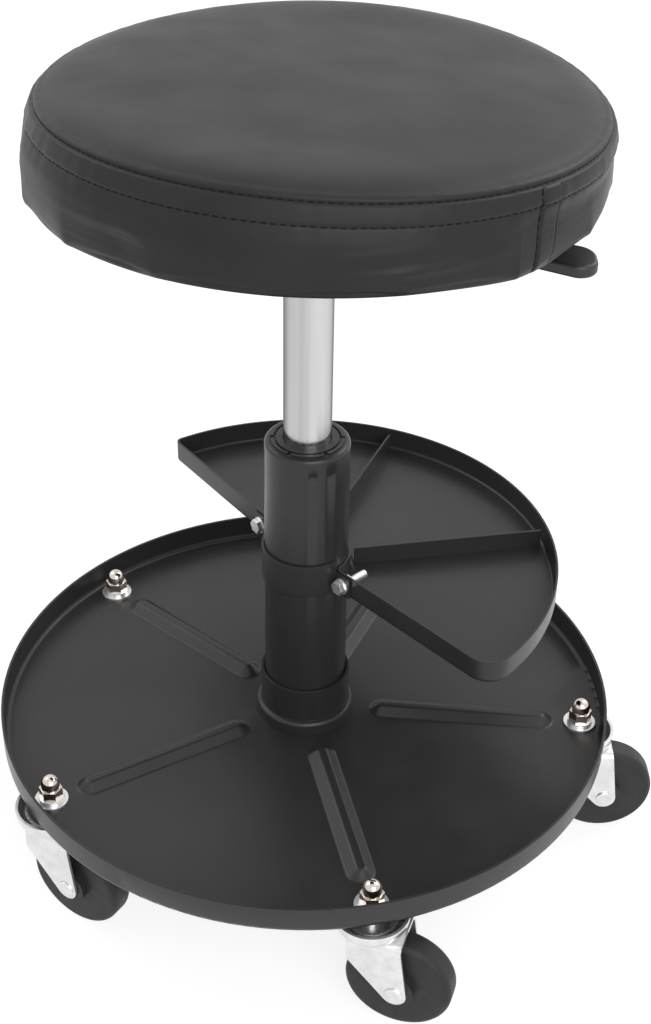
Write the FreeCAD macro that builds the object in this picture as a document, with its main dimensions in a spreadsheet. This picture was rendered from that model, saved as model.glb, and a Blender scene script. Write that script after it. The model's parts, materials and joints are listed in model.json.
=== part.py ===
import FreeCAD, Part
import math
import operator
import os
from types import SimpleNamespace

import Sketcher

# A height-adjustable rolling stool: a round padded seat on a gas lift, a swinging tool tray on the column,
# and a round pressed base pan on five swivel casters.
# Millimetres, +Z up, origin on the column's axis at the floor. The seat is at its full height.

SIZES = {
    # Caster wheels and their axles
    "wheel_radius": 31.5,
    "wheel_width": 16.5,
    "wheel_edge_radius": 4.0,
    "wheel_hub_radius": 11.0,
    "wheel_hub_width": 26.0,
    "wheel_bush_radius": 6.0,
    "axle_radius": 4.0,
    "axle_head_radius": 5.4,
    "axle_head_height": 1.2,
    "axle_dish_radius": 3.2,
    "axle_dish_depth": 0.9,
    "running_clearance": 0.05,
    "fit_clearance": 0.02,
    "cut_overrun": 5.0,
    # Caster forks
    "fork_sheet": 1.8,
    "fork_half_width": 15.3,
    "fork_bend_radius": 3.0,
    "fork_end_radius": 7.3,
    "fork_crown_front": 9.5,
    "fork_crown_back": 21.5,
    "fork_neck_height": 16.0,
    "fork_bowl_radius": 22.0,
    "fork_bowl_foot_radius": 15.0,
    "fork_bowl_height": 10.6,
    "fork_bowl_arc": 12.0,
    "caster_offset": 19.0,
    "wheel_gap": 3.4,
    # Direction in which each caster trails, and where the casters stand
    "front_trail_angle": -18.8,
    "right_trail_angle": 0.3,
    "back_right_trail_angle": -14.0,
    "back_left_trail_angle": -25.0,
    "left_trail_angle": -32.9,
    "stem_inset": 15.6,
    "front_stem_angle": -77.26,
    "stem_count": 5,
    # Caster stems with their race cups, washers and domed nuts
    "stem_radius": 5.0,
    "stem_head_radius": 7.0,
    "stem_head_height": 3.2,
    "swivel_gap": 0.1,
    "cup_height": 7.6,
    "cup_radius": 16.4,
    "cup_foot_radius": 12.5,
    "cup_sheet": 1.6,
    "shoulder_radius": 8.0,
    "shoulder_height": 5.0,
    "thread_radius": 4.0,
    "stem_hole_clearance": 0.3,
    "flat_washer_radius": 10.0,
    "flat_washer_sheet": 1.6,
    "lock_washer_radius": 7.8,
    "lock_washer_sheet": 2.2,
    "nut_flats": 12.2,
    "nut_height": 6.5,
    "nut_dome_radius": 5.6,
    "nut_neck": 3.0,
    "stem_end_gap": 1.0,
    # Base pan with its raised ribs
    "pan_radius": 190.0,
    "pan_depth": 16.9,
    "pan_sheet": 1.5,
    "pan_bend_radius": 3.0,
    "rib_from_hub": 11.0,
    "rib_to_stem": 25.4,
    "rib_half_width": 8.5,
    "rib_crest_half_width": 2.4,
    "rib_height": 5.0,
    "rib_round": 3.0,
    # Hub that holds the column in the pan
    "hub_radius": 27.5,
    "hub_foot_radius": 30.5,
    "hub_foot_height": 6.0,
    "hub_height": 32.6,
    "hub_mouth": 0.6,
    "hub_mouth_depth": 4.0,
    "hub_flange_radius": 39.0,
    "hub_flange_sheet": 3.0,
    "hub_drop": 17.0,
    # Column tube and the plastic bush in its top
    "tube_radius": 25.0,
    "tube_foot_radius": 24.3,
    "tube_wall": 1.5,
    "tube_rise": 200.0,
    "tube_drop": 19.0,
    "tube_lip_radius": 21.5,
    "tube_lip_round": 3.0,
    "tube_floor_hole": 6.5,
    "tube_floor_sheet": 2.5,
    "crimp_ball_radius": 8.0,
    "crimp_depth": 0.9,
    "crimp_below_top": 12.5,
    "crimp_angle": -82.0,
    "crimp_spread": 26.0,
    "crimp_count": 3,
    "bush_length": 76.0,
    "bush_proud": 0.8,
    "bush_groove_radius": 18.2,
    "bush_groove_width": 1.4,
    "bush_groove_depth": 1.6,
    "bush_notch_width": 2.4,
    "bush_notch_count": 6,
    # Gas lift: chromed cylinder on the seat, piston rod on the column's floor
    "cylinder_radius": 14.0,
    "cylinder_wall": 1.5,
    "cylinder_below_top": 82.0,
    "cylinder_head": 12.0,
    "cylinder_tip_radius": 13.2,
    "cylinder_tip_proud": 4.0,
    "cylinder_crimp": 1.0,
    "seal_height": 14.0,
    "rod_radius": 5.0,
    "piston_radius": 12.4,
    "piston_height": 9.0,
    "piston_gap": 3.0,
    "race_radius": 17.0,
    "race_sheet": 2.0,
    "ball_radius": 2.2,
    "ball_circle": 11.8,
    "ball_count": 8,
    "ball_gap": 0.1,
    "bumper_radius": 14.0,
    "bumper_height": 7.0,
    "clip_radius": 9.0,
    "clip_sheet": 1.4,
    "clip_gap": 0.3,
    "rod_tail": 6.0,
    # Socket and pressed plate under the seat
    "lift_showing": 122.5,
    "socket_radius": 18.0,
    "socket_length": 18.5,
    "plate_half_side": 66.0,
    "plate_corner_radius": 12.0,
    "plate_sheet": 2.5,
    "hat_depth": 20.0,
    "hat_radius": 54.0,
    "hat_floor_radius": 47.0,
    "seat_bolt_offset": 52.0,
    "seat_bolt_radius": 3.0,
    "seat_bolt_head_radius": 5.2,
    "seat_bolt_head_height": 4.0,
    "seat_bolt_length": 13.5,
    "seat_washer_radius": 7.0,
    "seat_washer_sheet": 1.2,
    "tee_nut_radius": 9.0,
    "tee_nut_sheet": 1.4,
    "tee_nut_barrel_radius": 4.0,
    "tee_nut_barrel_length": 9.0,
    # Height release: lever, paddle, pivot and the lift's release pin
    "lever_angle": -26.4,
    "lever_width": 16.0,
    "lever_sheet": 3.0,
    "lever_tail": 3.0,
    "lever_crank_start": 60.0,
    "lever_neck": 6.0,
    "lever_drop": 9.0,
    "lever_above_tip": 5.0,
    "lever_eye_radius": 4.6,
    "lever_eye_drop": 2.0,
    "pivot_radius": 2.5,
    "pivot_reach": 34.0,
    "pivot_end": 1.0,
    "ear_sheet": 2.0,
    "ear_half_length": 6.0,
    "ear_gap": 0.3,
    "slot_clearance": 3.0,
    "pin_radius": 3.0,
    "pin_length": 14.0,
    "pin_lever_gap": 0.4,
    "paddle_proud": 16.0,
    "paddle_skew": 12.0,
    "paddle_end_wall": 29.0,
    "paddle_socket": 20.0,
    "paddle_half_width": 12.5,
    "paddle_neck_half_width": 11.0,
    "paddle_near_corner": 9.0,
    "paddle_far_corner": 12.0,
    "paddle_thickness": 7.0,
    "paddle_round": 2.0,
    # Seat: board, foam and cover
    "board_inset": 3.0,
    "board_thickness": 12.0,
    "board_round": 3.0,
    "cover_sheet": 1.5,
    "cover_base_radius": 136.0,
    "cover_hem_width": 20.0,
    "cover_side_height": 46.0,
    "cover_seam_overhang": 12.5,
    "cover_side_arc": 62.0,
    "cover_shoulder_inset": 6.5,
    "cover_shoulder_rise": 5.0,
    "cover_shoulder_arc": 8.0,
    "cover_crown_rise": 5.0,
    "foam_gap": 0.3,
    # Tool tray with its dividers, strap and bolts
    "tray_radius": 150.4,
    "tray_below_tube_top": 79.3,
    "tray_height": 15.2,
    "tray_sheet": 1.2,
    "tray_start_angle": -47.5,
    "tray_span": 173.0,
    "tray_front_corner_radius": 15.0,
    "tray_back_corner_radius": 4.5,
    "tray_column_corner_radius": 4.0,
    "tray_bend_radius": 3.0,
    "tray_clearance": 0.3,
    "divider_below_rim": 2.0,
    "divider_foot": 9.0,
    "strap_sheet": 1.5,
    "strap_proud": 6.5,
    "strap_tab_margin": 6.0,
    "strap_tab_inset": 1.0,
    "right_bolt_reach": 32.8,
    "left_bolt_reach": 47.0,
    "tray_bolt_radius": 2.5,
    "tray_bolt_flats": 8.0,
    "tray_bolt_head": 3.5,
    "tray_bolt_end": 12.0,
    "tray_nut_height": 4.0,
    "tray_washer_radius": 5.2,
    "tray_washer_sheet": 1.0,
}

OPERATIONS = {"+": operator.add, "-": operator.sub, "*": operator.mul, "/": operator.truediv}
CASTER_NAMES = ("front", "right", "back_right", "back_left", "left")
DIVIDER_NAMES = ("right", "back")
HEXAGON_CORNER_SHARE = 1 / math.sqrt(3)
HEAD_ROUND_SHARE = 0.7
INSET_DROP_SHARE = 0.5
RIB_INSET_SHARE = 0.5
FULL_TURN = 360.0


class Size:
    """A dimension that carries its value and the spreadsheet expression that gives it."""

    def __init__(self, value, text):
        self.value = value
        self.text = text

    def __float__(self):
        return float(self.value)

    def __neg__(self):
        return combined(0, "-", self)

    def __add__(self, other):
        return combined(self, "+", other)

    def __radd__(self, other):
        return combined(other, "+", self)

    def __sub__(self, other):
        return combined(self, "-", other)

    def __rsub__(self, other):
        return combined(other, "-", self)

    def __mul__(self, other):
        return combined(self, "*", other)

    def __rmul__(self, other):
        return combined(other, "*", self)

    def __truediv__(self, other):
        return combined(self, "/", other)

    def __rtruediv__(self, other):
        return combined(other, "/", self)


def expression(size):
    return size.text if isinstance(size, Size) else repr(size)


def combined(left, sign, right):
    value = OPERATIONS[sign](float(left), float(right))
    return Size(value, f"({expression(left)} {sign} {expression(right)})")


def cosine(angle):
    return Size(math.cos(math.radians(float(angle))), f"cos({expression(angle)})")


def sine(angle):
    return Size(math.sin(math.radians(float(angle))), f"sin({expression(angle)})")


def polar(radius, angle):
    return radius * cosine(angle), radius * sine(angle)


def turned(x, y, angle):
    return x * cosine(angle) - y * sine(angle), x * sine(angle) + y * cosine(angle)


doc = FreeCAD.newDocument("rolling_stool")
sheet = doc.addObject("Spreadsheet::Sheet", "sizes")
for row, (size_name, size_value) in enumerate(SIZES.items(), 1):
    sheet.set(f"A{row}", size_name)
    sheet.set(f"B{row}", str(size_value))
    sheet.setAlias(f"B{row}", size_name)
doc.recompute()
d = SimpleNamespace(**{name: Size(float(sheet.get(name)), f"sizes.{name}") for name in SIZES})

# Heights above the floor, from the casters up
axle_level = d.wheel_radius
crown_bottom = axle_level + d.wheel_radius + d.wheel_gap
crown_top = crown_bottom + d.fork_sheet
cup_bottom = crown_top + d.swivel_gap
cup_top = cup_bottom + d.cup_height
pan_bottom = cup_top + d.shoulder_height
pan_floor = pan_bottom + d.pan_sheet
pan_rim = pan_floor + d.pan_depth
washer_top = pan_floor + d.flat_washer_sheet
nut_bottom = washer_top + d.lock_washer_sheet
hub_top = pan_floor + d.hub_height
tube_bottom = pan_bottom - d.tube_drop
tube_floor = tube_bottom + d.tube_floor_sheet
tube_top = pan_floor + d.tube_rise
bush_top = tube_top + d.bush_proud
cylinder_bottom = tube_top - d.cylinder_below_top
socket_bottom = tube_top + d.lift_showing
hat_bottom = socket_bottom + d.socket_length
hat_floor = hat_bottom + d.plate_sheet
cylinder_top = hat_floor + d.cylinder_tip_proud
plate_bottom = hat_bottom + d.hat_depth
board_bottom = plate_bottom + d.plate_sheet
board_top = board_bottom + d.board_thickness
lever_bottom = cylinder_top + d.lever_above_tip
pivot_level = lever_bottom - d.lever_eye_drop
tray_rim = tube_top - d.tray_below_tube_top
tray_bottom = tray_rim - d.tray_height
tray_floor = tray_bottom + d.tray_sheet
race_top = tube_floor + d.race_sheet
ball_level = race_top + d.ball_gap + d.ball_radius
upper_race_bottom = ball_level + d.ball_radius + d.ball_gap
bumper_bottom = upper_race_bottom + d.race_sheet
piston_bottom = cylinder_bottom + d.cylinder_crimp + d.seal_height + d.piston_gap
piston_top = piston_bottom + d.piston_height
bumper_top = bumper_bottom + d.bumper_height

# Radii that follow from the pan's edge and from the seat's edge
stem_circle = d.pan_radius - d.stem_inset
rib_start = d.hub_flange_radius + d.rib_from_hub
rib_end = stem_circle - d.rib_to_stem
board_radius = d.cover_base_radius - d.board_inset
cover_hem_radius = d.cover_base_radius - d.cover_hem_width
cover_seam_radius = d.cover_base_radius + d.cover_seam_overhang
cover_shoulder_radius = cover_seam_radius - d.cover_shoulder_inset
paddle_tip = cover_seam_radius + d.paddle_proud
lever_reach = paddle_tip - d.paddle_end_wall
paddle_start = lever_reach - d.paddle_socket
lever_crank_end = paddle_start - d.lever_neck

pieces = []


def bind(thing, prop, size):
    """Tie a property to the sheet where it comes from a size."""
    if isinstance(size, Size):
        thing.setExpression(prop, size.text)


def new_body(label):
    body = doc.addObject("PartDesign::Body", label)
    body.Label = label
    return body


def keep(piece):
    pieces.append(piece)
    return piece


def place(body, x=0, y=0, z=0, turn=0):
    bind(body, "Placement.Base.x", x)
    bind(body, "Placement.Base.y", y)
    bind(body, "Placement.Base.z", z)
    bind(body, "Placement.Rotation.Angle", turn)


def sketch_on(body, plane, name, level=0, turn=0):
    """Sketch on one of the body's planes, raised to a level; a turn about Z is for the XZ plane."""
    sketch = body.newObject("Sketcher::SketchObject", f"{body.Name}_{name}")
    support = next(item for item in body.Origin.OriginFeatures if item.Role == plane)
    sketch.AttachmentSupport = (support, "")
    sketch.MapMode = "FlatFace"
    bind(sketch, "AttachmentOffset.Base.z", level)
    if isinstance(turn, Size):
        sketch.AttachmentOffset.Rotation = FreeCAD.Rotation(FreeCAD.Vector(0, 1, 0), float(turn))
        bind(sketch, "AttachmentOffset.Rotation.Angle", turn)
    return sketch


def constrain(sketch, constraint, size=None):
    index = sketch.addConstraint(constraint)
    if isinstance(size, Size):
        sketch.setExpression(f"Constraints[{index}]", size.text)


def hold_point(sketch, geometry, end, x, y):
    """Fix a point by its distances from the sketch's origin."""
    constrain(sketch, Sketcher.Constraint("DistanceX", -1, 1, geometry, end, float(x)), x)
    constrain(sketch, Sketcher.Constraint("DistanceY", -1, 1, geometry, end, float(y)), y)


def add_arc(sketch, start, stop, radius):
    """Arc between two points, to the left for a positive radius; returns its index and its two ends."""
    size = abs(float(radius))
    chord = stop - start
    side = FreeCAD.Vector(-chord.y, chord.x, 0).normalize() * math.copysign(1, float(radius))
    centre = (start + stop) / 2 + side * math.sqrt(max(size ** 2 - (chord.Length / 2) ** 2, 0))
    first, last = (start, stop) if float(radius) > 0 else (stop, start)
    angles = [math.atan2(point.y - centre.y, point.x - centre.x) for point in (first, last)]
    circle = Part.Circle(centre, FreeCAD.Vector(0, 0, 1), size)
    index = sketch.addGeometry(Part.ArcOfCircle(circle, *angles))
    bound = radius if float(radius) > 0 else -radius
    constrain(sketch, Sketcher.Constraint("Radius", index, size), bound)
    return (index, 1, 2) if float(radius) > 0 else (index, 2, 1)


def outline(sketch, corners):
    """Closed run of lines and arcs; a corner's third entry is the radius of the arc that leaves it."""
    points = [FreeCAD.Vector(float(corner[0]), float(corner[1]), 0) for corner in corners]
    runs = []
    for corner, start, stop in zip(corners, points, points[1:] + points[:1]):
        if len(corner) == 3:
            runs.append(add_arc(sketch, start, stop, corner[2]))
        else:
            runs.append((sketch.addGeometry(Part.LineSegment(start, stop)), 1, 2))
    for (index, _, tail), (following, head, _) in zip(runs, runs[1:] + runs[:1]):
        sketch.addConstraint(Sketcher.Constraint("Coincident", index, tail, following, head))
    for (index, head, _), corner in zip(runs, corners):
        hold_point(sketch, index, head, corner[0], corner[1])
    return sketch


def circle(sketch, x, y, radius):
    centre = FreeCAD.Vector(float(x), float(y), 0)
    index = sketch.addGeometry(Part.Circle(centre, FreeCAD.Vector(0, 0, 1), float(radius)))
    constrain(sketch, Sketcher.Constraint("Radius", index, float(radius)), radius)
    hold_point(sketch, index, 3, x, y)
    return sketch


def rectangle(sketch, x0, y0, x1, y1):
    return outline(sketch, [(x0, y0), (x1, y0), (x1, y1), (x0, y1)])


def stadium(sketch, start, end, half_width):
    """Long rounded shape along X, with a quarter arc at each corner."""
    return outline(sketch, [
        (start, -half_width),
        (end, -half_width, half_width),
        (end + half_width, 0, half_width),
        (end, half_width),
        (start, half_width, half_width),
        (start - half_width, 0, half_width),
    ])


def hexagon(sketch, flats):
    corner = flats * HEXAGON_CORNER_SHARE
    return outline(sketch, [polar(corner, FULL_TURN / 6 * step) for step in range(6)])


def extrude(body, sketch, length, kind="Pad", both=False, back=False):
    feature = body.newObject(f"PartDesign::{kind}", f"{sketch.Name}_{kind.lower()}")
    feature.Profile = sketch
    feature.SideType = "Symmetric" if both else "One side"
    feature.Reversed = back
    feature.Length = float(length)
    bind(feature, "Length", length)
    return feature


def revolve(body, sketch, kind="Revolution", turn=FULL_TURN):
    feature = body.newObject(f"PartDesign::{kind}", f"{sketch.Name}_{kind.lower()}")
    feature.Profile = sketch
    feature.ReferenceAxis = (sketch, ["V_Axis"])
    feature.Angle = float(turn)
    bind(feature, "Angle", turn)
    return feature


def loft(body, lower, upper, kind):
    feature = body.newObject(f"PartDesign::{kind}", f"{lower.Name}_{kind.lower()}")
    feature.Profile = lower
    feature.Sections = [upper]
    feature.Ruled = True
    return feature


def polar_pattern(body, features, count):
    pattern = body.newObject("PartDesign::PolarPattern", f"{body.Name}_pattern")
    pattern.Originals = features
    axis = next(item for item in body.Origin.OriginFeatures if item.Role == "Z_Axis")
    pattern.Axis = (axis, [""])
    pattern.Angle = FULL_TURN
    pattern.Occurrences = round(float(count))
    bind(pattern, "Occurrences", count)
    body.Tip = pattern
    return pattern


def dress(body, kind, wanted, prop, size):
    """Round or bevel the edges of the body so far that the test picks."""
    doc.recompute()
    base = body.Tip
    names = [f"Edge{number}" for number, edge in enumerate(base.Shape.Edges, 1) if wanted(edge)]
    feature = body.newObject(f"PartDesign::{kind}", f"{body.Name}_{kind.lower()}")
    feature.Base = (base, names)
    bind(feature, prop, size)
    return feature


def near(first, second):
    return abs(float(first) - float(second)) < float(d.fit_clearance)


def lies_at(edge, level):
    return near(edge.BoundBox.ZMin, level) and near(edge.BoundBox.ZMax, level)


def upright_edge_at(x, y):
    """Test that picks the vertical edge over a point of the plan."""
    def picks(edge):
        box = edge.BoundBox
        return all(near(*pair) for pair in ((box.XMin, x), (box.XMax, x), (box.YMin, y), (box.YMax, y)))
    return picks


def lathe(label, corners, plane="XZ_Plane"):
    """Body of revolution from a profile of radius and height, about Z, or about Y in the XY plane."""
    body = new_body(label)
    revolve(body, outline(sketch_on(body, plane, "profile"), corners))
    return body


def washer(label, inner, outer, bottom, top):
    return lathe(label, [(inner, bottom), (outer, bottom), (outer, top), (inner, top)])


def spread(label, body, placements):
    """One node of separate copies of a body."""
    doc.recompute()
    group = doc.addObject("Part::Feature", label)
    group.Label = label
    group.Shape = Part.makeCompound([body.Shape.transformed(item.toMatrix()) for item in placements])
    return keep(group)


def upright(x, y, angle=0, z=0):
    return FreeCAD.Placement(
        FreeCAD.Vector(float(x), float(y), float(z)),
        FreeCAD.Rotation(FreeCAD.Vector(0, 0, 1), float(angle)),
    )


def stem_angle(number):
    return d.front_stem_angle + number * FULL_TURN / d.stem_count


def stem_placements():
    numbers = range(round(float(d.stem_count)))
    return [upright(*polar(stem_circle, stem_angle(number))) for number in numbers]


# Casters


def fork_side(body):
    """Side view of the fork: a level crown, and edges that run tangent to the round end at the axle."""
    side = sketch_on(body, "XZ_Plane", "side")
    front, back = -d.fork_crown_front, d.fork_crown_back
    neck = crown_top - d.fork_neck_height
    axle = FreeCAD.Vector(float(d.caster_offset), float(axle_level), 0)
    reach = FreeCAD.Vector(float(d.fork_end_radius), 0, 0)
    chain = [(front, neck), (front, crown_top), (back, crown_top)]
    corners = [FreeCAD.Vector(float(x), float(y), 0) for x, y in chain] + [axle + reach]
    for start, stop in zip(corners, corners[1:]):
        side.addGeometry(Part.LineSegment(start, stop))
    end_circle = Part.Circle(axle, FreeCAD.Vector(0, 0, 1), float(d.fork_end_radius))
    side.addGeometry(Part.ArcOfCircle(end_circle, math.pi, 2 * math.pi))
    side.addGeometry(Part.LineSegment(axle - reach, corners[0]))
    for first, second in ((0, 1), (1, 2), (4, 0)):
        side.addConstraint(Sketcher.Constraint("Coincident", first, 2, second, 1))
    side.addConstraint(Sketcher.Constraint("Tangent", 2, 2, 3, 2))
    side.addConstraint(Sketcher.Constraint("Tangent", 3, 1, 4, 1))
    constrain(side, Sketcher.Constraint("Radius", 3, float(d.fork_end_radius)), d.fork_end_radius)
    hold_point(side, 3, 3, d.caster_offset, axle_level)
    for index, (x, y) in enumerate(chain):
        hold_point(side, index, 1, x, y)
    return side


def caster_fork(name):
    """Pressed fork: a bowl that turns on the stem's race, and two legs that taper to the axle."""
    body = new_body(f"caster_fork_{name}")
    extrude(body, fork_side(body), 2 * d.fork_half_width, both=True)
    bend = d.fork_bend_radius
    dress(body, "Fillet", lambda edge: lies_at(edge, crown_top) and edge.BoundBox.YLength < float(bend),
          "Radius", bend + d.fork_sheet)
    inner = d.fork_half_width - d.fork_sheet
    channel = outline(sketch_on(body, "YZ_Plane", "channel"), [
        (-inner, 0),
        (inner, 0),
        (inner, crown_bottom - bend, bend),
        (inner - bend, crown_bottom),
        (bend - inner, crown_bottom, bend),
        (-inner, crown_bottom - bend),
    ])
    length = 2 * (d.caster_offset + d.fork_end_radius + d.fork_crown_front + d.cut_overrun)
    extrude(body, channel, length, "Pocket", both=True)
    lip = crown_top + d.fork_bowl_height
    bowl = outline(sketch_on(body, "XZ_Plane", "bowl"), [
        (0, crown_bottom),
        (d.fork_bowl_foot_radius, crown_bottom, d.fork_bowl_arc),
        (d.fork_bowl_radius, lip),
        (d.fork_bowl_radius - d.fork_sheet, lip, d.fork_sheet - d.fork_bowl_arc),
        (d.fork_bowl_foot_radius, crown_top),
        (0, crown_top),
    ])
    revolve(body, bowl)
    stem_hole, axle_hole = d.stem_radius + d.running_clearance, d.axle_radius + d.fit_clearance
    hole = circle(sketch_on(body, "XY_Plane", "stem_hole", crown_bottom), 0, 0, stem_hole)
    extrude(body, hole, 2 * (d.fork_sheet + d.cut_overrun), "Pocket", both=True)
    bore = circle(sketch_on(body, "XZ_Plane", "axle_hole"), d.caster_offset, axle_level, axle_hole)
    extrude(body, bore, 2 * (d.fork_half_width + d.cut_overrun), "Pocket", both=True)
    return body


def caster_axle(name):
    """Rivet through the fork's legs, with a low dished head on each side."""
    half, head = d.fork_half_width, d.axle_head_height
    head_round = head * HEAD_ROUND_SHARE
    return lathe(f"caster_axle_{name}", [
        (0, d.axle_dish_depth - half - head),
        (d.axle_dish_radius, -half - head),
        (d.axle_head_radius - head_round, -half - head, head_round),
        (d.axle_head_radius, head_round - half - head),
        (d.axle_head_radius, -half),
        (d.axle_radius, -half),
        (d.axle_radius, half),
        (d.axle_head_radius, half),
        (d.axle_head_radius, half + head - head_round, head_round),
        (d.axle_head_radius - head_round, half + head),
        (d.axle_dish_radius, half + head),
        (0, half + head - d.axle_dish_depth),
    ], "XY_Plane")


def caster_wheel(name):
    """Solid tread with rounded shoulders and a hub boss on each side."""
    half, edge, hub = d.wheel_width / 2, d.wheel_edge_radius, d.wheel_hub_width / 2
    bore = d.wheel_bush_radius + d.fit_clearance
    return lathe(f"caster_wheel_{name}", [
        (bore, -hub),
        (d.wheel_hub_radius, -hub),
        (d.wheel_hub_radius, -half),
        (d.wheel_radius - edge, -half, edge),
        (d.wheel_radius, edge - half),
        (d.wheel_radius, half - edge, edge),
        (d.wheel_radius - edge, half),
        (d.wheel_hub_radius, half),
        (d.wheel_hub_radius, hub),
        (bore, hub),
    ], "XY_Plane")


def wheel_bush(name):
    hub, bore = d.wheel_hub_width / 2, d.axle_radius + d.running_clearance
    return lathe(f"wheel_bush_{name}", [
        (bore, -hub),
        (d.wheel_bush_radius, -hub),
        (d.wheel_bush_radius, hub),
        (bore, hub),
    ], "XY_Plane")


def casters():
    for number, name in enumerate(CASTER_NAMES):
        x, y = polar(stem_circle, stem_angle(number))
        trail_angle = getattr(d, f"{name}_trail_angle")
        step_x, step_y = polar(d.caster_offset, trail_angle)
        place(keep(caster_fork(name)), x, y, 0, trail_angle)
        for make in (caster_axle, caster_wheel, wheel_bush):
            place(keep(make(name)), x + step_x, y + step_y, axle_level, trail_angle)


def caster_stem():
    head_top = crown_bottom - d.swivel_gap
    return lathe("caster_stem", [
        (0, head_top - d.stem_head_height),
        (d.stem_head_radius, head_top - d.stem_head_height),
        (d.stem_head_radius, head_top),
        (d.stem_radius, head_top),
        (d.stem_radius, cup_top),
        (d.shoulder_radius, cup_top),
        (d.shoulder_radius, pan_bottom),
        (d.thread_radius, pan_bottom),
        (d.thread_radius, nut_bottom + d.nut_height + d.nut_neck - d.stem_end_gap),
        (0, nut_bottom + d.nut_height + d.nut_neck - d.stem_end_gap),
    ])


def race_cup():
    """Dish on the stem that the fork's bowl turns round."""
    bore = d.stem_radius + d.fit_clearance
    return lathe("race_cup", [
        (bore, cup_bottom),
        (d.cup_foot_radius, cup_bottom),
        (d.cup_radius, cup_top),
        (d.cup_radius - d.cup_sheet, cup_top),
        (d.cup_foot_radius - d.cup_sheet, cup_bottom + d.cup_sheet),
        (bore, cup_bottom + d.cup_sheet),
    ])


def acorn_nut():
    body = new_body("acorn_nut")
    extrude(body, hexagon(sketch_on(body, "XY_Plane", "flats", nut_bottom), d.nut_flats), d.nut_height)
    neck_top = nut_bottom + d.nut_height + d.nut_neck
    revolve(body, outline(sketch_on(body, "XZ_Plane", "dome"), [
        (0, nut_bottom),
        (d.nut_dome_radius, nut_bottom),
        (d.nut_dome_radius, neck_top, d.nut_dome_radius),
        (0, neck_top + d.nut_dome_radius),
    ]))
    bore = circle(sketch_on(body, "XY_Plane", "bore", nut_bottom), 0, 0, d.thread_radius + d.fit_clearance)
    extrude(body, bore, d.nut_height + d.nut_neck, "Pocket", back=True)
    return body


def stem_fasteners():
    """Stems and what is stacked on them, one node for each kind."""
    hole = d.thread_radius + d.stem_hole_clearance
    kinds = {
        "caster_stems": caster_stem(),
        "caster_race_cups": race_cup(),
        "flat_washers": washer("flat_washer", hole, d.flat_washer_radius, pan_floor, washer_top),
        "lock_washers": washer("lock_washer", hole, d.lock_washer_radius, washer_top, nut_bottom),
        "acorn_nuts": acorn_nut(),
    }
    for label, body in kinds.items():
        spread(label, body, stem_placements())


# Base pan, hub and column


def base_pan():
    """Pressed dish with a turned-up rim, a raised hollow rib towards each caster, and the stem holes."""
    outer_bend = d.pan_bend_radius + d.pan_sheet
    inside = d.pan_radius - d.pan_sheet
    hole = d.hub_radius + d.fit_clearance
    body = lathe("base_pan", [
        (hole, pan_bottom),
        (d.pan_radius - outer_bend, pan_bottom, outer_bend),
        (d.pan_radius, pan_bottom + outer_bend),
        (d.pan_radius, pan_rim),
        (inside, pan_rim),
        (inside, pan_floor + d.pan_bend_radius, -d.pan_bend_radius),
        (inside - d.pan_bend_radius, pan_floor),
        (hole, pan_floor),
    ])
    inset = d.pan_sheet * RIB_INSET_SHARE
    rib = [
        stadium(sketch_on(body, "XY_Plane", f"rib_{name}", level), rib_start, rib_end, half_width)
        for name, level, half_width in (
            ("foot", pan_floor, d.rib_half_width),
            ("crest", pan_floor + d.rib_height, d.rib_crest_half_width),
            ("hollow_foot", pan_bottom, d.rib_half_width - inset),
            ("hollow_crest", pan_bottom + d.rib_height, d.rib_crest_half_width - inset),
        )
    ]
    raised = loft(body, rib[0], rib[1], "AdditiveLoft")
    hollow = loft(body, rib[2], rib[3], "SubtractiveLoft")
    stem_hole = d.thread_radius + d.stem_hole_clearance
    holes = circle(sketch_on(body, "XY_Plane", "stem_hole", pan_bottom), stem_circle, 0, stem_hole)
    drilled = extrude(body, holes, 2 * (d.pan_sheet + d.cut_overrun), "Pocket", both=True)
    polar_pattern(body, [raised, hollow, drilled], d.stem_count)
    rib_reach = float(rib_end + d.rib_half_width)

    def is_rib_edge(edge):
        centre = edge.CenterOfMass
        level = any(lies_at(edge, height) for height in (pan_floor, pan_floor + d.rib_height))
        return level and float(hole) < math.hypot(centre.x, centre.y) < rib_reach

    dress(body, "Fillet", is_rib_edge, "Radius", d.rib_round)
    place(keep(body), turn=d.front_stem_angle)


def tube_radius_at(level):
    """Outer radius of the column's tapered foot, which seats in the hub."""
    rise = (level - tube_bottom) / (hub_top - tube_bottom)
    return d.tube_foot_radius + (d.tube_radius - d.tube_foot_radius) * rise


def hub_collar():
    bottom, flange_bottom = pan_bottom - d.hub_drop, pan_bottom - d.hub_flange_sheet
    bead = d.hub_foot_radius - d.hub_radius
    mouth_level = hub_top - d.hub_mouth_depth
    keep(lathe("hub_collar", [
        (tube_radius_at(bottom) + d.fit_clearance, bottom),
        (d.hub_radius, bottom),
        (d.hub_radius, flange_bottom),
        (d.hub_flange_radius, flange_bottom),
        (d.hub_flange_radius, pan_bottom),
        (d.hub_radius, pan_bottom),
        (d.hub_radius, pan_floor),
        (d.hub_foot_radius, pan_floor),
        (d.hub_foot_radius, pan_floor + d.hub_foot_height, bead),
        (d.hub_radius, pan_floor + d.hub_foot_height + bead),
        (d.hub_radius, hub_top),
        (d.tube_radius + d.hub_mouth, hub_top),
        (tube_radius_at(mouth_level) + d.fit_clearance, mouth_level),
    ]))


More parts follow.
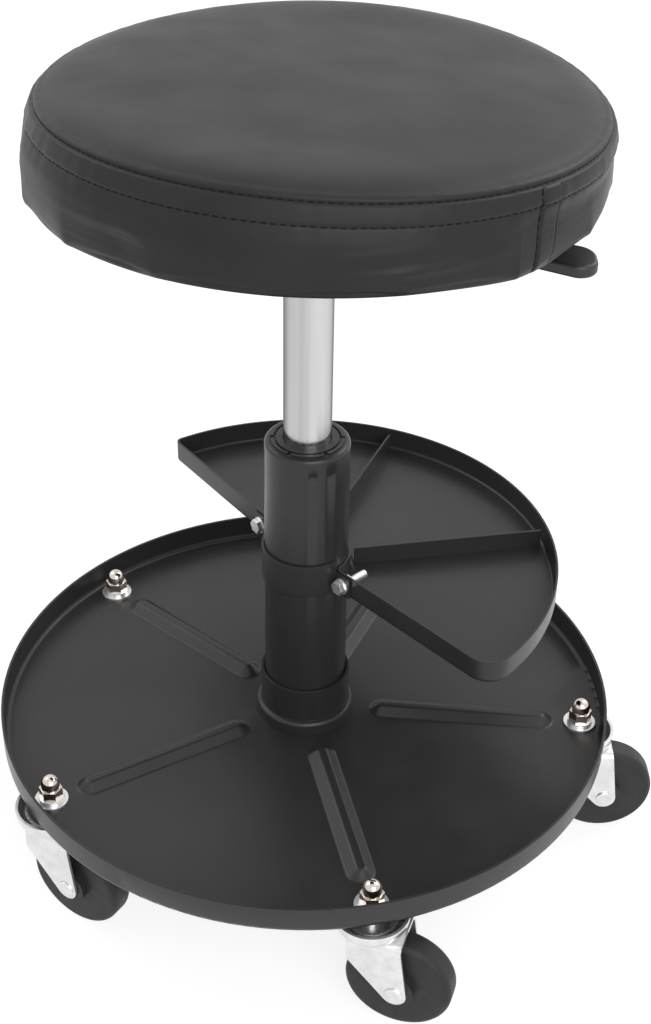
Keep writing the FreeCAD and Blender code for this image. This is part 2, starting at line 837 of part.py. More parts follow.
def column_tube():
    """Tube with a tapered foot, a floor with the rod's hole, a rolled-in lip and crimp marks."""
    lip_level = tube_top - d.tube_wall
    body = lathe("column_tube", [
        (d.tube_floor_hole, tube_bottom),
        (d.tube_foot_radius, tube_bottom),
        (d.tube_radius, hub_top),
        (d.tube_radius, tube_top - d.tube_lip_round, d.tube_lip_round),
        (d.tube_radius - d.tube_lip_round, tube_top),
        (d.tube_lip_radius, tube_top),
        (d.tube_lip_radius, lip_level),
        (d.tube_radius - d.tube_wall, lip_level),
        (d.tube_radius - d.tube_wall, hub_top),
        (d.tube_foot_radius - d.tube_wall, tube_floor),
        (d.tube_floor_hole, tube_floor),
    ])
    marks = []
    for number in range(2):
        mark = body.newObject("PartDesign::SubtractiveSphere", f"crimp_{number}")
        reach = d.tube_radius + d.crimp_ball_radius - d.crimp_depth
        x, y = polar(reach, d.crimp_angle + number * d.crimp_spread)
        bind(mark, "Radius", d.crimp_ball_radius)
        bind(mark, "Placement.Base.x", x)
        bind(mark, "Placement.Base.y", y)
        bind(mark, "Placement.Base.z", tube_top - d.crimp_below_top)
        marks.append(mark)
    polar_pattern(body, marks, d.crimp_count)
    keep(body)


def guide_bush():
    """Plastic bush that guides the lift, with a grooved and notched collar in the tube's lip."""
    bore = d.cylinder_radius + d.running_clearance
    outer = d.tube_radius - d.tube_wall - d.fit_clearance
    neck = d.tube_lip_radius - d.fit_clearance
    shoulder = tube_top - d.tube_wall - d.fit_clearance
    groove_floor = bush_top - d.bush_groove_depth
    groove_outer = d.bush_groove_radius + d.bush_groove_width
    body = lathe("guide_bush", [
        (bore, bush_top - d.bush_length),
        (outer, bush_top - d.bush_length),
        (outer, shoulder),
        (neck, shoulder),
        (neck, bush_top),
        (groove_outer, bush_top),
        (groove_outer, groove_floor),
        (d.bush_groove_radius, groove_floor),
        (d.bush_groove_radius, bush_top),
        (bore, bush_top),
    ])
    half = d.bush_notch_width / 2
    notch = rectangle(sketch_on(body, "XY_Plane", "notch", bush_top), d.bush_groove_radius, -half,
                      neck + d.cut_overrun, half)
    polar_pattern(body, [extrude(body, notch, d.bush_groove_depth, "Pocket")], d.bush_notch_count)
    keep(body)


# Gas lift


def gas_cylinder():
    inside, pin_hole = d.cylinder_radius - d.cylinder_wall, d.pin_radius + d.running_clearance
    keep(lathe("gas_cylinder", [
        (inside, cylinder_bottom),
        (d.cylinder_radius, cylinder_bottom),
        (d.cylinder_radius, socket_bottom),
        (d.cylinder_tip_radius, cylinder_top),
        (pin_hole, cylinder_top),
        (pin_hole, cylinder_top - d.cylinder_head),
        (inside, cylinder_top - d.cylinder_head),
    ]))


def cylinder_radius_at(level):
    """Outer radius of the cylinder's tapered tip, which seats in the socket."""
    rise = (level - socket_bottom) / (cylinder_top - socket_bottom)
    return d.cylinder_radius + (d.cylinder_tip_radius - d.cylinder_radius) * rise


def lift_inside():
    """Seal, piston, rod and the thrust bearing that the rod turns on."""
    inside = d.cylinder_radius - d.cylinder_wall - d.fit_clearance
    seal_bottom = cylinder_bottom + d.cylinder_crimp
    rod_hole = d.rod_radius + d.running_clearance
    rod_seat = d.rod_radius + d.fit_clearance
    keep(washer("rod_seal", rod_hole, inside, seal_bottom, seal_bottom + d.seal_height))
    keep(washer("piston", rod_seat, d.piston_radius, piston_bottom, piston_top))
    rod_bottom = tube_bottom - d.rod_tail
    keep(lathe("piston_rod", [
        (0, rod_bottom),
        (d.rod_radius, rod_bottom),
        (d.rod_radius, piston_top),
        (0, piston_top),
    ]))
    keep(washer("lower_race", d.tube_floor_hole, d.race_radius, tube_floor, race_top))
    keep(washer("upper_race", rod_seat, d.race_radius, upper_race_bottom, bumper_bottom))
    keep(washer("rubber_bumper", rod_seat, d.bumper_radius, bumper_bottom, bumper_top))
    clip_top = tube_bottom - d.clip_gap
    keep(washer("rod_clip", rod_seat, d.clip_radius, clip_top - d.clip_sheet, clip_top))
    ball = doc.addObject("Part::Sphere", "thrust_ball")
    bind(ball, "Radius", d.ball_radius)
    bind(ball, "Placement.Base.z", ball_level)
    count = round(float(d.ball_count))
    places = [upright(*polar(d.ball_circle, FULL_TURN / count * step)) for step in range(count)]
    spread("thrust_balls", ball, places)


# Seat


def lift_socket():
    keep(lathe("lift_socket", [
        (d.cylinder_radius + d.fit_clearance, socket_bottom),
        (d.socket_radius, socket_bottom),
        (d.socket_radius, hat_bottom),
        (cylinder_radius_at(hat_bottom) + d.fit_clearance, hat_bottom),
    ]))


def seat_bolt_places():
    offset = d.seat_bolt_offset
    return [(across * offset, along * offset) for across in (1, -1) for along in (1, -1)]


def seat_plate():
    """Square pressed plate with a deep round hat, which the lever reaches into through a slot."""
    body = new_body("seat_plate")
    side, corner = d.plate_half_side, d.plate_corner_radius
    straight = side - corner
    plate = outline(sketch_on(body, "XY_Plane", "plate", plate_bottom), [
        (-straight, -side), (straight, -side, corner),
        (side, -straight), (side, straight, corner),
        (straight, side), (-straight, side, corner),
        (-side, straight), (-side, -straight, corner),
    ])
    extrude(body, plate, d.plate_sheet)
    hat = outline(sketch_on(body, "XZ_Plane", "hat"), [
        (0, hat_bottom),
        (d.hat_floor_radius, hat_bottom),
        (d.hat_radius, plate_bottom),
        (d.hat_radius, board_bottom),
        (0, board_bottom),
    ])
    revolve(body, hat)
    hollow = outline(sketch_on(body, "XZ_Plane", "hollow"), [
        (0, hat_floor),
        (d.hat_floor_radius - d.plate_sheet, hat_floor),
        (d.hat_radius - d.plate_sheet, board_bottom),
        (0, board_bottom),
    ])
    revolve(body, hollow, "Groove")
    tip = cylinder_radius_at(hat_bottom) + d.fit_clearance
    tip_hole = circle(sketch_on(body, "XY_Plane", "tip_hole", hat_bottom), 0, 0, tip)
    extrude(body, tip_hole, 2 * (d.plate_sheet + d.cut_overrun), "Pocket", both=True)
    for number, (x, y) in enumerate(seat_bolt_places()):
        hole = circle(sketch_on(body, "XY_Plane", f"bolt_hole_{number}", plate_bottom), x, y,
                      d.seat_bolt_radius + d.stem_hole_clearance)
        extrude(body, hole, 2 * (d.plate_sheet + d.cut_overrun), "Pocket", both=True)
    half = d.lever_width / 2 + d.slot_clearance
    middle = d.hat_floor_radius - d.plate_sheet - d.cut_overrun
    end = d.hat_radius + d.cut_overrun
    slot = outline(sketch_on(body, "XY_Plane", "slot", lever_bottom - d.slot_clearance), [
        turned(x, y, d.lever_angle) for x, y in ((middle, -half), (end, -half), (end, half), (middle, half))
    ])
    height = d.lever_sheet + 2 * d.slot_clearance
    extrude(body, slot, height, "Pocket", back=True)
    keep(body)


def seat_board():
    body = new_body("seat_board")
    radius, edge = board_radius, d.board_round
    revolve(body, outline(sketch_on(body, "XZ_Plane", "profile"), [
        (0, board_bottom),
        (radius - edge, board_bottom, edge),
        (radius, board_bottom + edge),
        (radius, board_top - edge, edge),
        (radius - edge, board_top),
        (0, board_top),
    ]))
    for number, (x, y) in enumerate(seat_bolt_places()):
        hole = circle(sketch_on(body, "XY_Plane", f"hole_{number}", board_bottom), x, y,
                      d.tee_nut_barrel_radius + d.fit_clearance)
        extrude(body, hole, d.board_thickness + d.cut_overrun, "Pocket", back=True)
        seat = circle(sketch_on(body, "XY_Plane", f"seat_{number}", board_top), x, y,
                      d.tee_nut_radius + d.fit_clearance)
        extrude(body, seat, d.tee_nut_sheet, "Pocket")
    keep(body)


def seat_fasteners():
    bolt_hole = d.seat_bolt_radius + d.fit_clearance
    washer_bottom = plate_bottom - d.seat_washer_sheet
    head_bottom = washer_bottom - d.seat_bolt_head_height
    bolt = lathe("seat_bolt", [
        (0, head_bottom),
        (d.seat_bolt_head_radius, head_bottom),
        (d.seat_bolt_head_radius, washer_bottom),
        (d.seat_bolt_radius, washer_bottom),
        (d.seat_bolt_radius, washer_bottom + d.seat_bolt_length),
        (0, washer_bottom + d.seat_bolt_length),
    ])
    flange_bottom = board_top - d.tee_nut_sheet
    tee_nut = lathe("seat_tee_nut", [
        (bolt_hole, flange_bottom - d.tee_nut_barrel_length),
        (d.tee_nut_barrel_radius, flange_bottom - d.tee_nut_barrel_length),
        (d.tee_nut_barrel_radius, flange_bottom),
        (d.tee_nut_radius, flange_bottom),
        (d.tee_nut_radius, board_top),
        (bolt_hole, board_top),
    ])
    ring = washer("seat_washer", bolt_hole, d.seat_washer_radius, washer_bottom, plate_bottom)
    places = [upright(x, y) for x, y in seat_bolt_places()]
    spread("seat_bolts", bolt, places)
    spread("seat_tee_nuts", tee_nut, places)
    spread("seat_bolt_washers", ring, places)


def cushion_profile(inset):
    """Shoulder and domed crown of the cushion, drawn in by an inset, from the seam to the axis."""
    seam = board_bottom - d.cover_sheet + d.cover_side_height
    shoulder = seam + d.cover_shoulder_rise
    shoulder_radius = cover_shoulder_radius - inset * INSET_DROP_SHARE
    rise = d.cover_crown_rise
    crown_arc = (shoulder_radius * shoulder_radius + rise * rise) / (2 * rise)
    return [
        (cover_seam_radius - inset, seam - inset * INSET_DROP_SHARE, d.cover_shoulder_arc),
        (shoulder_radius, shoulder - inset, crown_arc),
        (0, shoulder + rise - inset),
    ]


def seat_cover():
    """Cover that runs from its hem under the board, up the drawn-in side and over the crown."""
    base, skin = board_bottom - d.cover_sheet, d.cover_sheet
    outside, inside = cushion_profile(0), cushion_profile(skin)
    keep(lathe("seat_cover", [
        (cover_hem_radius, base),
        (d.cover_base_radius, base, d.cover_side_arc),
        *outside,
        (*inside[2], -inside[1][2]),
        (*inside[1][:2], -d.cover_shoulder_arc),
        (*inside[0][:2], -d.cover_side_arc),
        (d.cover_base_radius - skin, board_bottom),
        (cover_hem_radius, board_bottom),
    ]))


def seat_foam():
    """Foam on the board: crowned on top, drawn in towards the board."""
    inset = d.cover_sheet + d.foam_gap
    keep(lathe("seat_foam", [
        (0, board_top),
        (board_radius, board_top, d.cover_side_arc),
        *cushion_profile(inset),
    ]))


# Height release


def release_lever():
    """Cranked strip with a pivot eye; its tail lies over the release pin."""
    body = new_body("release_lever")
    low = lever_bottom - d.lever_drop
    sheet_top = d.lever_sheet
    strip = outline(sketch_on(body, "XZ_Plane", "strip"), [
        (-d.lever_tail, lever_bottom),
        (d.lever_crank_start, lever_bottom),
        (lever_crank_end, low),
        (lever_reach, low),
        (lever_reach, low + sheet_top),
        (lever_crank_end, low + sheet_top),
        (d.lever_crank_start, lever_bottom + sheet_top),
        (-d.lever_tail, lever_bottom + sheet_top),
    ])
    extrude(body, strip, d.lever_width, both=True)
    eye = circle(sketch_on(body, "XZ_Plane", "eye"), d.pivot_reach, pivot_level, d.lever_eye_radius)
    extrude(body, eye, d.lever_width, both=True)
    pivot_hole = d.pivot_radius + d.running_clearance
    bore = circle(sketch_on(body, "XZ_Plane", "bore"), d.pivot_reach, pivot_level, pivot_hole)
    extrude(body, bore, 2 * (d.lever_width + d.cut_overrun), "Pocket", both=True)
    place(keep(body), turn=d.lever_angle)


def lever_paddle():
    """Plastic paddle with a rounded end, pushed over the end of the strip."""
    body = new_body("lever_paddle")
    low = lever_bottom - d.lever_drop
    bottom = low + d.lever_sheet / 2 - d.paddle_thickness / 2
    half, neck = d.paddle_half_width, d.paddle_neck_half_width
    far_end = paddle_tip - d.paddle_skew
    plan = outline(sketch_on(body, "XY_Plane", "plan", bottom), [
        (paddle_start, -neck),
        (paddle_tip, -half),
        (far_end, half),
        (paddle_start, neck),
    ])
    extrude(body, plan, d.paddle_thickness)
    for x, y, radius in ((paddle_tip, -half, d.paddle_near_corner), (far_end, half, d.paddle_far_corner)):
        dress(body, "Fillet", upright_edge_at(x, y), "Radius", radius)
    top = bottom + d.paddle_thickness
    dress(body, "Fillet", lambda edge: lies_at(edge, bottom) or lies_at(edge, top), "Radius", d.paddle_round)
    fit, across = d.fit_clearance, d.lever_width / 2 + d.fit_clearance
    slot = rectangle(sketch_on(body, "YZ_Plane", "slot", paddle_start),
                     -across, low - fit, across, low + d.lever_sheet + fit)
    extrude(body, slot, d.paddle_socket + fit, "Pocket", back=True)
    place(keep(body), turn=d.lever_angle)


def lever_pivot():
    """Pivot pin and the two ears that carry it, which stand on the floor of the hat."""
    ear_inner = d.lever_width / 2 + d.ear_gap
    pin = new_body("lever_pivot_pin")
    shaft = circle(sketch_on(pin, "XZ_Plane", "shaft"), d.pivot_reach, pivot_level, d.pivot_radius)
    extrude(pin, shaft, 2 * (ear_inner + d.ear_sheet + d.pivot_end), both=True)
    place(keep(pin), turn=d.lever_angle)
    ears = []
    for name, offset in (("near", -ear_inner - d.ear_sheet), ("far", ear_inner)):
        ear = new_body(f"lever_ear_{name}")
        half = d.ear_half_length
        side = outline(sketch_on(ear, "XZ_Plane", "side", -offset), [
            (d.pivot_reach - half, hat_floor),
            (d.pivot_reach + half, hat_floor),
            (d.pivot_reach + half, pivot_level, half),
            (d.pivot_reach, pivot_level + half, half),
            (d.pivot_reach - half, pivot_level),
        ])
        extrude(ear, side, d.ear_sheet, back=True)
        pivot_hole = d.pivot_radius + d.fit_clearance
        bore = circle(sketch_on(ear, "XZ_Plane", "bore"), d.pivot_reach, pivot_level, pivot_hole)
        extrude(ear, bore, 2 * (d.lever_width + d.cut_overrun), "Pocket", both=True)
        ears.append(ear)
    doc.recompute()
    pair = doc.addObject("Part::Feature", "lever_ears")
    pair.Label = "lever_ears"
    pair.Shape = Part.makeCompound([ear.Shape for ear in ears])
    pair.Placement = upright(0, 0, d.lever_angle)
    keep(pair)


def release_pin():
    top = lever_bottom - d.pin_lever_gap
    keep(lathe("release_pin", [
        (0, top - d.pin_length),
        (d.pin_radius, top - d.pin_length),
        (d.pin_radius, top - d.pin_radius, d.pin_radius),
        (0, top),
    ]))


# Tool tray

tray_inner = d.tube_radius + d.tray_clearance
tray_end_angle = d.tray_start_angle + d.tray_span
tray_bolt_level = tray_bottom + d.tray_height / 2


def drill_wall(body, name, turn, reach):
    """Bolt hole through an upright wall that runs out from the column."""
    hole = circle(sketch_on(body, "XZ_Plane", f"{name}_hole", turn=turn), reach, tray_bolt_level,
                  d.tray_bolt_radius + d.stem_hole_clearance)
    extrude(body, hole, 2 * (d.tray_sheet + d.cut_overrun), "Pocket", both=True)


def tool_tray():
    """Pressed sector with walls all round, and a hole in each end wall for the strap's bolt."""
    body = new_body("tool_tray")
    plan = outline(sketch_on(body, "XY_Plane", "plan", tray_bottom), [
        (tray_inner, 0),
        (d.tray_radius, 0, d.tray_radius),
        polar(d.tray_radius, d.tray_span),
        (*polar(tray_inner, d.tray_span), -tray_inner),
    ])
    extrude(body, plan, d.tray_height)
    corners = (
        ((d.tray_radius, 0), d.tray_front_corner_radius),
        (polar(d.tray_radius, d.tray_span), d.tray_back_corner_radius),
        ((tray_inner, 0), d.tray_column_corner_radius),
        (polar(tray_inner, d.tray_span), d.tray_column_corner_radius),
    )
    for corner, radius in corners:
        dress(body, "Fillet", upright_edge_at(*corner), "Radius", radius)
    dress(body, "Fillet", lambda edge: lies_at(edge, tray_bottom), "Radius", d.tray_bend_radius)
    doc.recompute()
    solid = body.Tip
    top = next(f"Face{number}" for number, face in enumerate(solid.Shape.Faces, 1) if lies_at(face, tray_rim))
    shell = body.newObject("PartDesign::Thickness", "tray_shell")
    shell.Base = (solid, [top])
    shell.Reversed = True
    shell.Join = "Intersection"
    bind(shell, "Value", d.tray_sheet)
    drill_wall(body, "right", 0, d.right_bolt_reach)
    drill_wall(body, "left", d.tray_span, d.left_bolt_reach)
    place(keep(body), turn=d.tray_start_angle)


def tray_dividers():
    """Folded strips that stand on the tray's floor and part it into three."""
    inner = tray_inner + d.tray_sheet + d.tray_bend_radius
    outer = d.tray_radius - d.tray_sheet - d.tray_bend_radius
    foot_top = tray_floor + d.tray_sheet
    divider_top = tray_rim - d.divider_below_rim
    for number, name in enumerate(DIVIDER_NAMES, 1):
        body = new_body(f"tray_divider_{name}")
        section = outline(sketch_on(body, "YZ_Plane", "section", inner), [
            (0, tray_floor),
            (d.divider_foot, tray_floor),
            (d.divider_foot, foot_top),
            (d.tray_sheet, foot_top),
            (d.tray_sheet, divider_top),
            (0, divider_top),
        ])
        extrude(body, section, outer - inner)
        place(keep(body), turn=d.tray_start_angle + d.tray_span * number / (len(DIVIDER_NAMES) + 1))


def tray_strap():
    """Band round the free side of the column, with a tab bolted to each end wall of the tray."""
    body = new_body("tray_strap")
    top = tray_rim + d.strap_proud
    band_outer = tray_inner + d.strap_sheet
    band = rectangle(sketch_on(body, "XZ_Plane", "band"), tray_inner, tray_bottom, band_outer, top)
    wrap = FULL_TURN - d.tray_span
    revolve(body, band, turn=wrap)
    tab_bottom = tray_bottom + d.strap_tab_inset
    tab_height = d.tray_height - 2 * d.strap_tab_inset
    ends = (("left", d.left_bolt_reach, 0, 1), ("right", d.right_bolt_reach, wrap, -1))
    for name, reach, angle, side in ends:
        end, depth = reach + d.strap_tab_margin, side * d.strap_sheet
        tab = outline(sketch_on(body, "XY_Plane", f"{name}_tab", tab_bottom), [
            turned(x, y, angle) for x, y in ((tray_inner, 0), (end, 0), (end, depth), (tray_inner, depth))
        ])
        extrude(body, tab, tab_height)
        drill_wall(body, name, angle, reach)
    place(keep(body), turn=tray_end_angle)


def tray_fasteners():
    """Bolts through the tabs and the end walls, with washers outside and nuts inside the tray."""
    washer_outer = d.strap_sheet + d.tray_washer_sheet
    shank_end = d.tray_sheet + d.tray_nut_height + d.tray_bolt_end
    hole = d.tray_bolt_radius + d.fit_clearance
    bolt = lathe("tray_bolt", [
        (0, -shank_end),
        (d.tray_bolt_radius, -shank_end),
        (d.tray_bolt_radius, washer_outer),
        (0, washer_outer),
    ], "XY_Plane")
    head = hexagon(sketch_on(bolt, "XZ_Plane", "head", -washer_outer), d.tray_bolt_flats)
    extrude(bolt, head, d.tray_bolt_head, back=True)
    nut = new_body("tray_nut")
    flats = hexagon(sketch_on(nut, "XZ_Plane", "flats", d.tray_sheet), d.tray_bolt_flats)
    extrude(nut, flats, d.tray_nut_height)
    bore = circle(sketch_on(nut, "XZ_Plane", "bore", d.tray_sheet), 0, 0, hole)
    extrude(nut, bore, 2 * (d.tray_nut_height + d.cut_overrun), "Pocket", both=True)
    ring = lathe("tray_washer", [
        (hole, d.strap_sheet),
        (d.tray_washer_radius, d.strap_sheet),
        (d.tray_washer_radius, washer_outer),
        (hole, washer_outer),
    ], "XY_Plane")
    ends = ((d.left_bolt_reach, tray_end_angle, 0), (d.right_bolt_reach, d.tray_start_angle, FULL_TURN / 2))
    places = [upright(*polar(reach, angle), angle + flip, tray_bolt_level) for reach, angle, flip in ends]
    for label, body in (("tray_bolts", bolt), ("tray_nuts", nut), ("tray_bolt_washers", ring)):
        spread(label, body, places)


BUILD_ORDER = (
    casters, stem_fasteners, base_pan, hub_collar, column_tube, guide_bush, gas_cylinder, lift_inside,
    lift_socket, seat_plate, seat_board, seat_fasteners, seat_cover, seat_foam, release_lever, lever_paddle,
    lever_pivot, release_pin, tool_tray, tray_dividers, tray_strap, tray_fasteners,
)
for build in BUILD_ORDER:
    build()

doc.recompute()
for item in doc.Objects:
    if {"Invalid", "Error"} & set(item.State):
        raise RuntimeError(f"{item.Label} failed: {item.State}")
for piece in pieces:
    if piece.Shape.isNull() or not piece.Shape.isValid():
        raise RuntimeError(f"{piece.Label} has no valid shape")

os.makedirs("parts", exist_ok=True)
for piece in pieces:
    piece.Shape.exportStep(f"parts/{piece.Label}.step")
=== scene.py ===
import json
import math

import bpy
import numpy as np
from mathutils import Matrix, Vector, kdtree


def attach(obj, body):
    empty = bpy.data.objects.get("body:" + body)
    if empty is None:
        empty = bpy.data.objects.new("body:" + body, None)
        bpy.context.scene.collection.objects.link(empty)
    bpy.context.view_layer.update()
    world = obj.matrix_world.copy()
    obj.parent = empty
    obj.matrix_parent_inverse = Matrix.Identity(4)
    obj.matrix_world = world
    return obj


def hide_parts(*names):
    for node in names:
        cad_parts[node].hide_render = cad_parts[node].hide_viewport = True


# Rolling stool: finishes for the rigid pieces, a sewn and stuffed seat, and small finishing details.
# Metres, in the frame of the solids: +Z up, origin on the column's axis at the floor.

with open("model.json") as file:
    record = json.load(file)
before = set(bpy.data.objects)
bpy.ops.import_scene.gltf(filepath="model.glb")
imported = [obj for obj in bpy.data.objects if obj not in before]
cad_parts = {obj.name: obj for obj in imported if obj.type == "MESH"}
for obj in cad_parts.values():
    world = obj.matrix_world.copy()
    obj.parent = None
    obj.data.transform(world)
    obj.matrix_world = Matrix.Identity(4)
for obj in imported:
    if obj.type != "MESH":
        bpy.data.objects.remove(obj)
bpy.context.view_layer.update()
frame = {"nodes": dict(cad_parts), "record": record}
nodes = frame["nodes"]

MM = 0.001
SEED = 7

# Camera fitted to the photograph, in a frame of 651 by 1024 pixels

CAMERA_PLACE = (0.0, -0.827447, 0.798927)
CAMERA_TILT = 0.6015
CAMERA_PAN = -0.0134
CAMERA_ROLL = -0.018
FOCAL_PIXELS = 1701.10
FRAME_PIXELS = 1024
SENSOR = 36.0


def make_camera():
    tilt, turn = CAMERA_TILT, Matrix.Rotation(CAMERA_PAN, 3, "Z")
    forward = turn @ Vector((0, math.cos(tilt), -math.sin(tilt)))
    across = turn @ Vector((1, 0, 0))
    down = turn @ Vector((0, -math.sin(tilt), -math.cos(tilt)))
    right = across * math.cos(CAMERA_ROLL) + down * math.sin(CAMERA_ROLL)
    down = down * math.cos(CAMERA_ROLL) - across * math.sin(CAMERA_ROLL)
    lens = bpy.data.cameras.new("camera")
    lens.sensor_fit = "AUTO"
    lens.sensor_width = SENSOR
    lens.lens = FOCAL_PIXELS * SENSOR / FRAME_PIXELS
    camera = bpy.data.objects.new("camera", lens)
    pose = Matrix((right, -down, -forward)).transposed().to_4x4()
    pose.translation = Vector(CAMERA_PLACE)
    camera.matrix_world = pose
    bpy.context.scene.collection.objects.link(camera)
    bpy.context.scene.camera = camera


# Shader helpers


class Shader:
    """A material's node tree with short calls to add and link nodes."""

    def __init__(self, name):
        self.material = bpy.data.materials.new(name)
        self.material.use_nodes = True
        self.tree = self.material.node_tree
        self.surface = self.tree.nodes["Principled BSDF"]

    def add(self, kind, **settings):
        node = self.tree.nodes.new(kind)
        for key, value in settings.items():
            setattr(node, key, value)
        return node

    def link(self, source, target):
        self.tree.links.new(source, target)

    def coordinates(self, scale):
        place = self.add("ShaderNodeTexCoord")
        mapping = self.add("ShaderNodeMapping")
        mapping.inputs["Scale"].default_value = scale
        self.link(place.outputs["Object"], mapping.inputs["Vector"])
        return mapping.outputs["Vector"]

    def noise(self, scale, detail=3.0, stretch=(1, 1, 1)):
        node = self.add("ShaderNodeTexNoise")
        node.inputs["Scale"].default_value = scale
        node.inputs["Detail"].default_value = detail
        self.link(self.coordinates(stretch), node.inputs["Vector"])
        return node.outputs["Fac"]

    def cells(self, scale):
        node = self.add("ShaderNodeTexVoronoi")
        node.inputs["Scale"].default_value = scale
        self.link(self.coordinates((1, 1, 1)), node.inputs["Vector"])
        return node.outputs["Distance"]

    def remap(self, value, low, high, start=0.3, stop=0.7):
        node = self.add("ShaderNodeMapRange")
        node.inputs["From Min"].default_value = start
        node.inputs["From Max"].default_value = stop
        node.inputs["To Min"].default_value = low
        node.inputs["To Max"].default_value = high
        self.link(value, node.inputs["Value"])
        return node.outputs["Result"]

    def color(self, value, dark, light):
        node = self.add("ShaderNodeMix", data_type="RGBA")
        node.inputs["A"].default_value = (*dark, 1)
        node.inputs["B"].default_value = (*light, 1)
        self.link(self.remap(value, 0.0, 1.0), node.inputs["Factor"])
        self.link(node.outputs["Result"], self.surface.inputs["Base Color"])

    def roughness(self, value, low, high):
        self.link(self.remap(value, low, high), self.surface.inputs["Roughness"])

    def soft_edges(self, radius):
        """Rounds the shading of sharp edges, as pressed and plated pieces have it."""
        node = self.add("ShaderNodeBevel", samples=4)
        node.inputs["Radius"].default_value = radius
        self.link(node.outputs["Normal"], self.surface.inputs["Normal"])
        return node.outputs["Normal"]

    def bump(self, height, distance, strength, below=None):
        node = self.add("ShaderNodeBump")
        node.inputs["Strength"].default_value = strength
        node.inputs["Distance"].default_value = distance
        self.link(height, node.inputs["Height"])
        if below is not None:
            self.link(below, node.inputs["Normal"])
        self.link(node.outputs["Normal"], self.surface.inputs["Normal"])
        return node.outputs["Normal"]

    def seen(self):
        """One for the rays that show the background: the camera's own, and those through or off a surface."""
        path = self.add("ShaderNodeLightPath")
        rays = path.outputs["Is Camera Ray"]
        for kind in ("Is Glossy Ray", "Is Transmission Ray"):
            either = self.add("ShaderNodeMath", operation="MAXIMUM")
            self.link(rays, either.inputs[0])
            self.link(path.outputs[kind], either.inputs[1])
            rays = either.outputs["Value"]
        return rays

    def set(self, **values):
        for key, value in values.items():
            self.surface.inputs[key.replace("_", " ")].default_value = value


def grey(level):
    return (level, level, level)


def enamel():
    """Baked enamel on pressed sheet: low gloss, faint orange peel and a trace of dust."""
    s = Shader("black_enamel")
    s.color(s.noise(14.0, 4.0), grey(0.026), grey(0.032))
    s.roughness(s.noise(40.0, 3.0), 0.28, 0.36)
    s.bump(s.noise(700.0, 1.0), 0.04 * MM, 0.15, s.soft_edges(0.5 * MM))
    s.set(Specular_IOR_Level=0.38)
    return s.material


def zinc():
    """Bright zinc plate on pressed steel, with a faint milky mottle."""
    s = Shader("bright_zinc")
    s.color(s.noise(120.0, 4.0), grey(0.72), grey(0.86))
    s.roughness(s.noise(90.0, 4.0), 0.18, 0.32)
    s.bump(s.noise(260.0, 3.0), 0.05 * MM, 0.30, s.soft_edges(0.35 * MM))
    s.set(Metallic=0.82)
    return s.material


def nickel():
    """Polished nickel with a warm cast."""
    s = Shader("bright_nickel")
    s.color(s.noise(150.0), (0.60, 0.53, 0.47), (0.74, 0.67, 0.61))
    s.roughness(s.noise(400.0), 0.07, 0.14)
    s.soft_edges(0.3 * MM)
    s.set(Metallic=1.0)
    return s.material


def chrome():
    """Ground and chromed tube. The colour streaks along its length are partly real grinding streaks and
    partly painted reflection bands, and its dark edge tint is a painted dark reflection on the grazing edges.
    """
    s = Shader("satin_chrome")
    # Lengthwise light and dark colour streaks: partly real grinding marks, partly painted reflection bands.
    s.color(s.noise(60.0, 4.0, (1, 1, 0.02)), grey(0.36), grey(0.66))
    s.roughness(s.noise(500.0, 3.0, (1, 1, 0.01)), 0.16, 0.26)
    # The dark specular tint darkens the grazing edges: a painted dark reflection.
    s.set(Metallic=1.0, Specular_Tint=(*grey(0.25), 1))
    return s.material


def steel():
    s = Shader("bare_steel")
    s.color(s.noise(80.0), grey(0.42), grey(0.52))
    s.roughness(s.noise(300.0), 0.25, 0.40)
    s.soft_edges(0.3 * MM)
    s.set(Metallic=1.0)
    return s.material


def rubber():
    """Matt black wheel compound with faint dust."""
    s = Shader("black_rubber")
    s.color(s.noise(45.0, 5.0), grey(0.022), grey(0.032))
    s.roughness(s.noise(150.0, 4.0), 0.48, 0.62)
    s.bump(s.noise(1400.0), 0.06 * MM, 0.40, s.soft_edges(0.5 * MM))
    s.set(Specular_IOR_Level=0.36)
    return s.material


def plastic():
    """Moulded black plastic with a fine spark-eroded texture."""
    s = Shader("black_plastic")
    s.color(s.noise(40.0), grey(0.020), grey(0.027))
    s.roughness(s.noise(200.0), 0.36, 0.48)
    s.bump(s.noise(1600.0, 2.0), 0.05 * MM, 0.40, s.soft_edges(0.5 * MM))
    return s.material


def white_plastic():
    s = Shader("white_plastic")
    s.color(s.noise(40.0), grey(0.68), grey(0.76))
    s.roughness(s.noise(200.0), 0.35, 0.50)
    s.soft_edges(0.3 * MM)
    return s.material


def plywood():
    """Raw plywood with long grain."""
    s = Shader("plywood")
    s.color(s.noise(30.0, 6.0, (0.12, 1, 1)), (0.36, 0.23, 0.12), (0.58, 0.42, 0.25))
    s.roughness(s.noise(90.0), 0.60, 0.75)
    s.bump(s.noise(120.0, 5.0, (0.1, 1, 1)), 0.2 * MM, 0.50)
    return s.material


def vinyl():
    """Fine-grained upholstery vinyl with a low sheen."""
    s = Shader("black_vinyl")
    s.color(s.noise(25.0, 4.0), grey(0.026), grey(0.032))
    s.roughness(s.noise(30.0, 3.0), 0.38, 0.46)
    pores = s.bump(s.cells(1100.0), 0.05 * MM, 0.25)
    s.bump(s.noise(220.0, 5.0), 0.08 * MM, 0.20, pores)
    s.set(Specular_IOR_Level=0.18)
    return s.material


def thread():
    """Twisted polyester sewing thread."""
    s = Shader("seam_thread")
    s.color(s.noise(900.0), grey(0.006), grey(0.014))
    s.roughness(s.noise(900.0), 0.45, 0.60)
    s.set(Specular_IOR_Level=0.1)
    return s.material


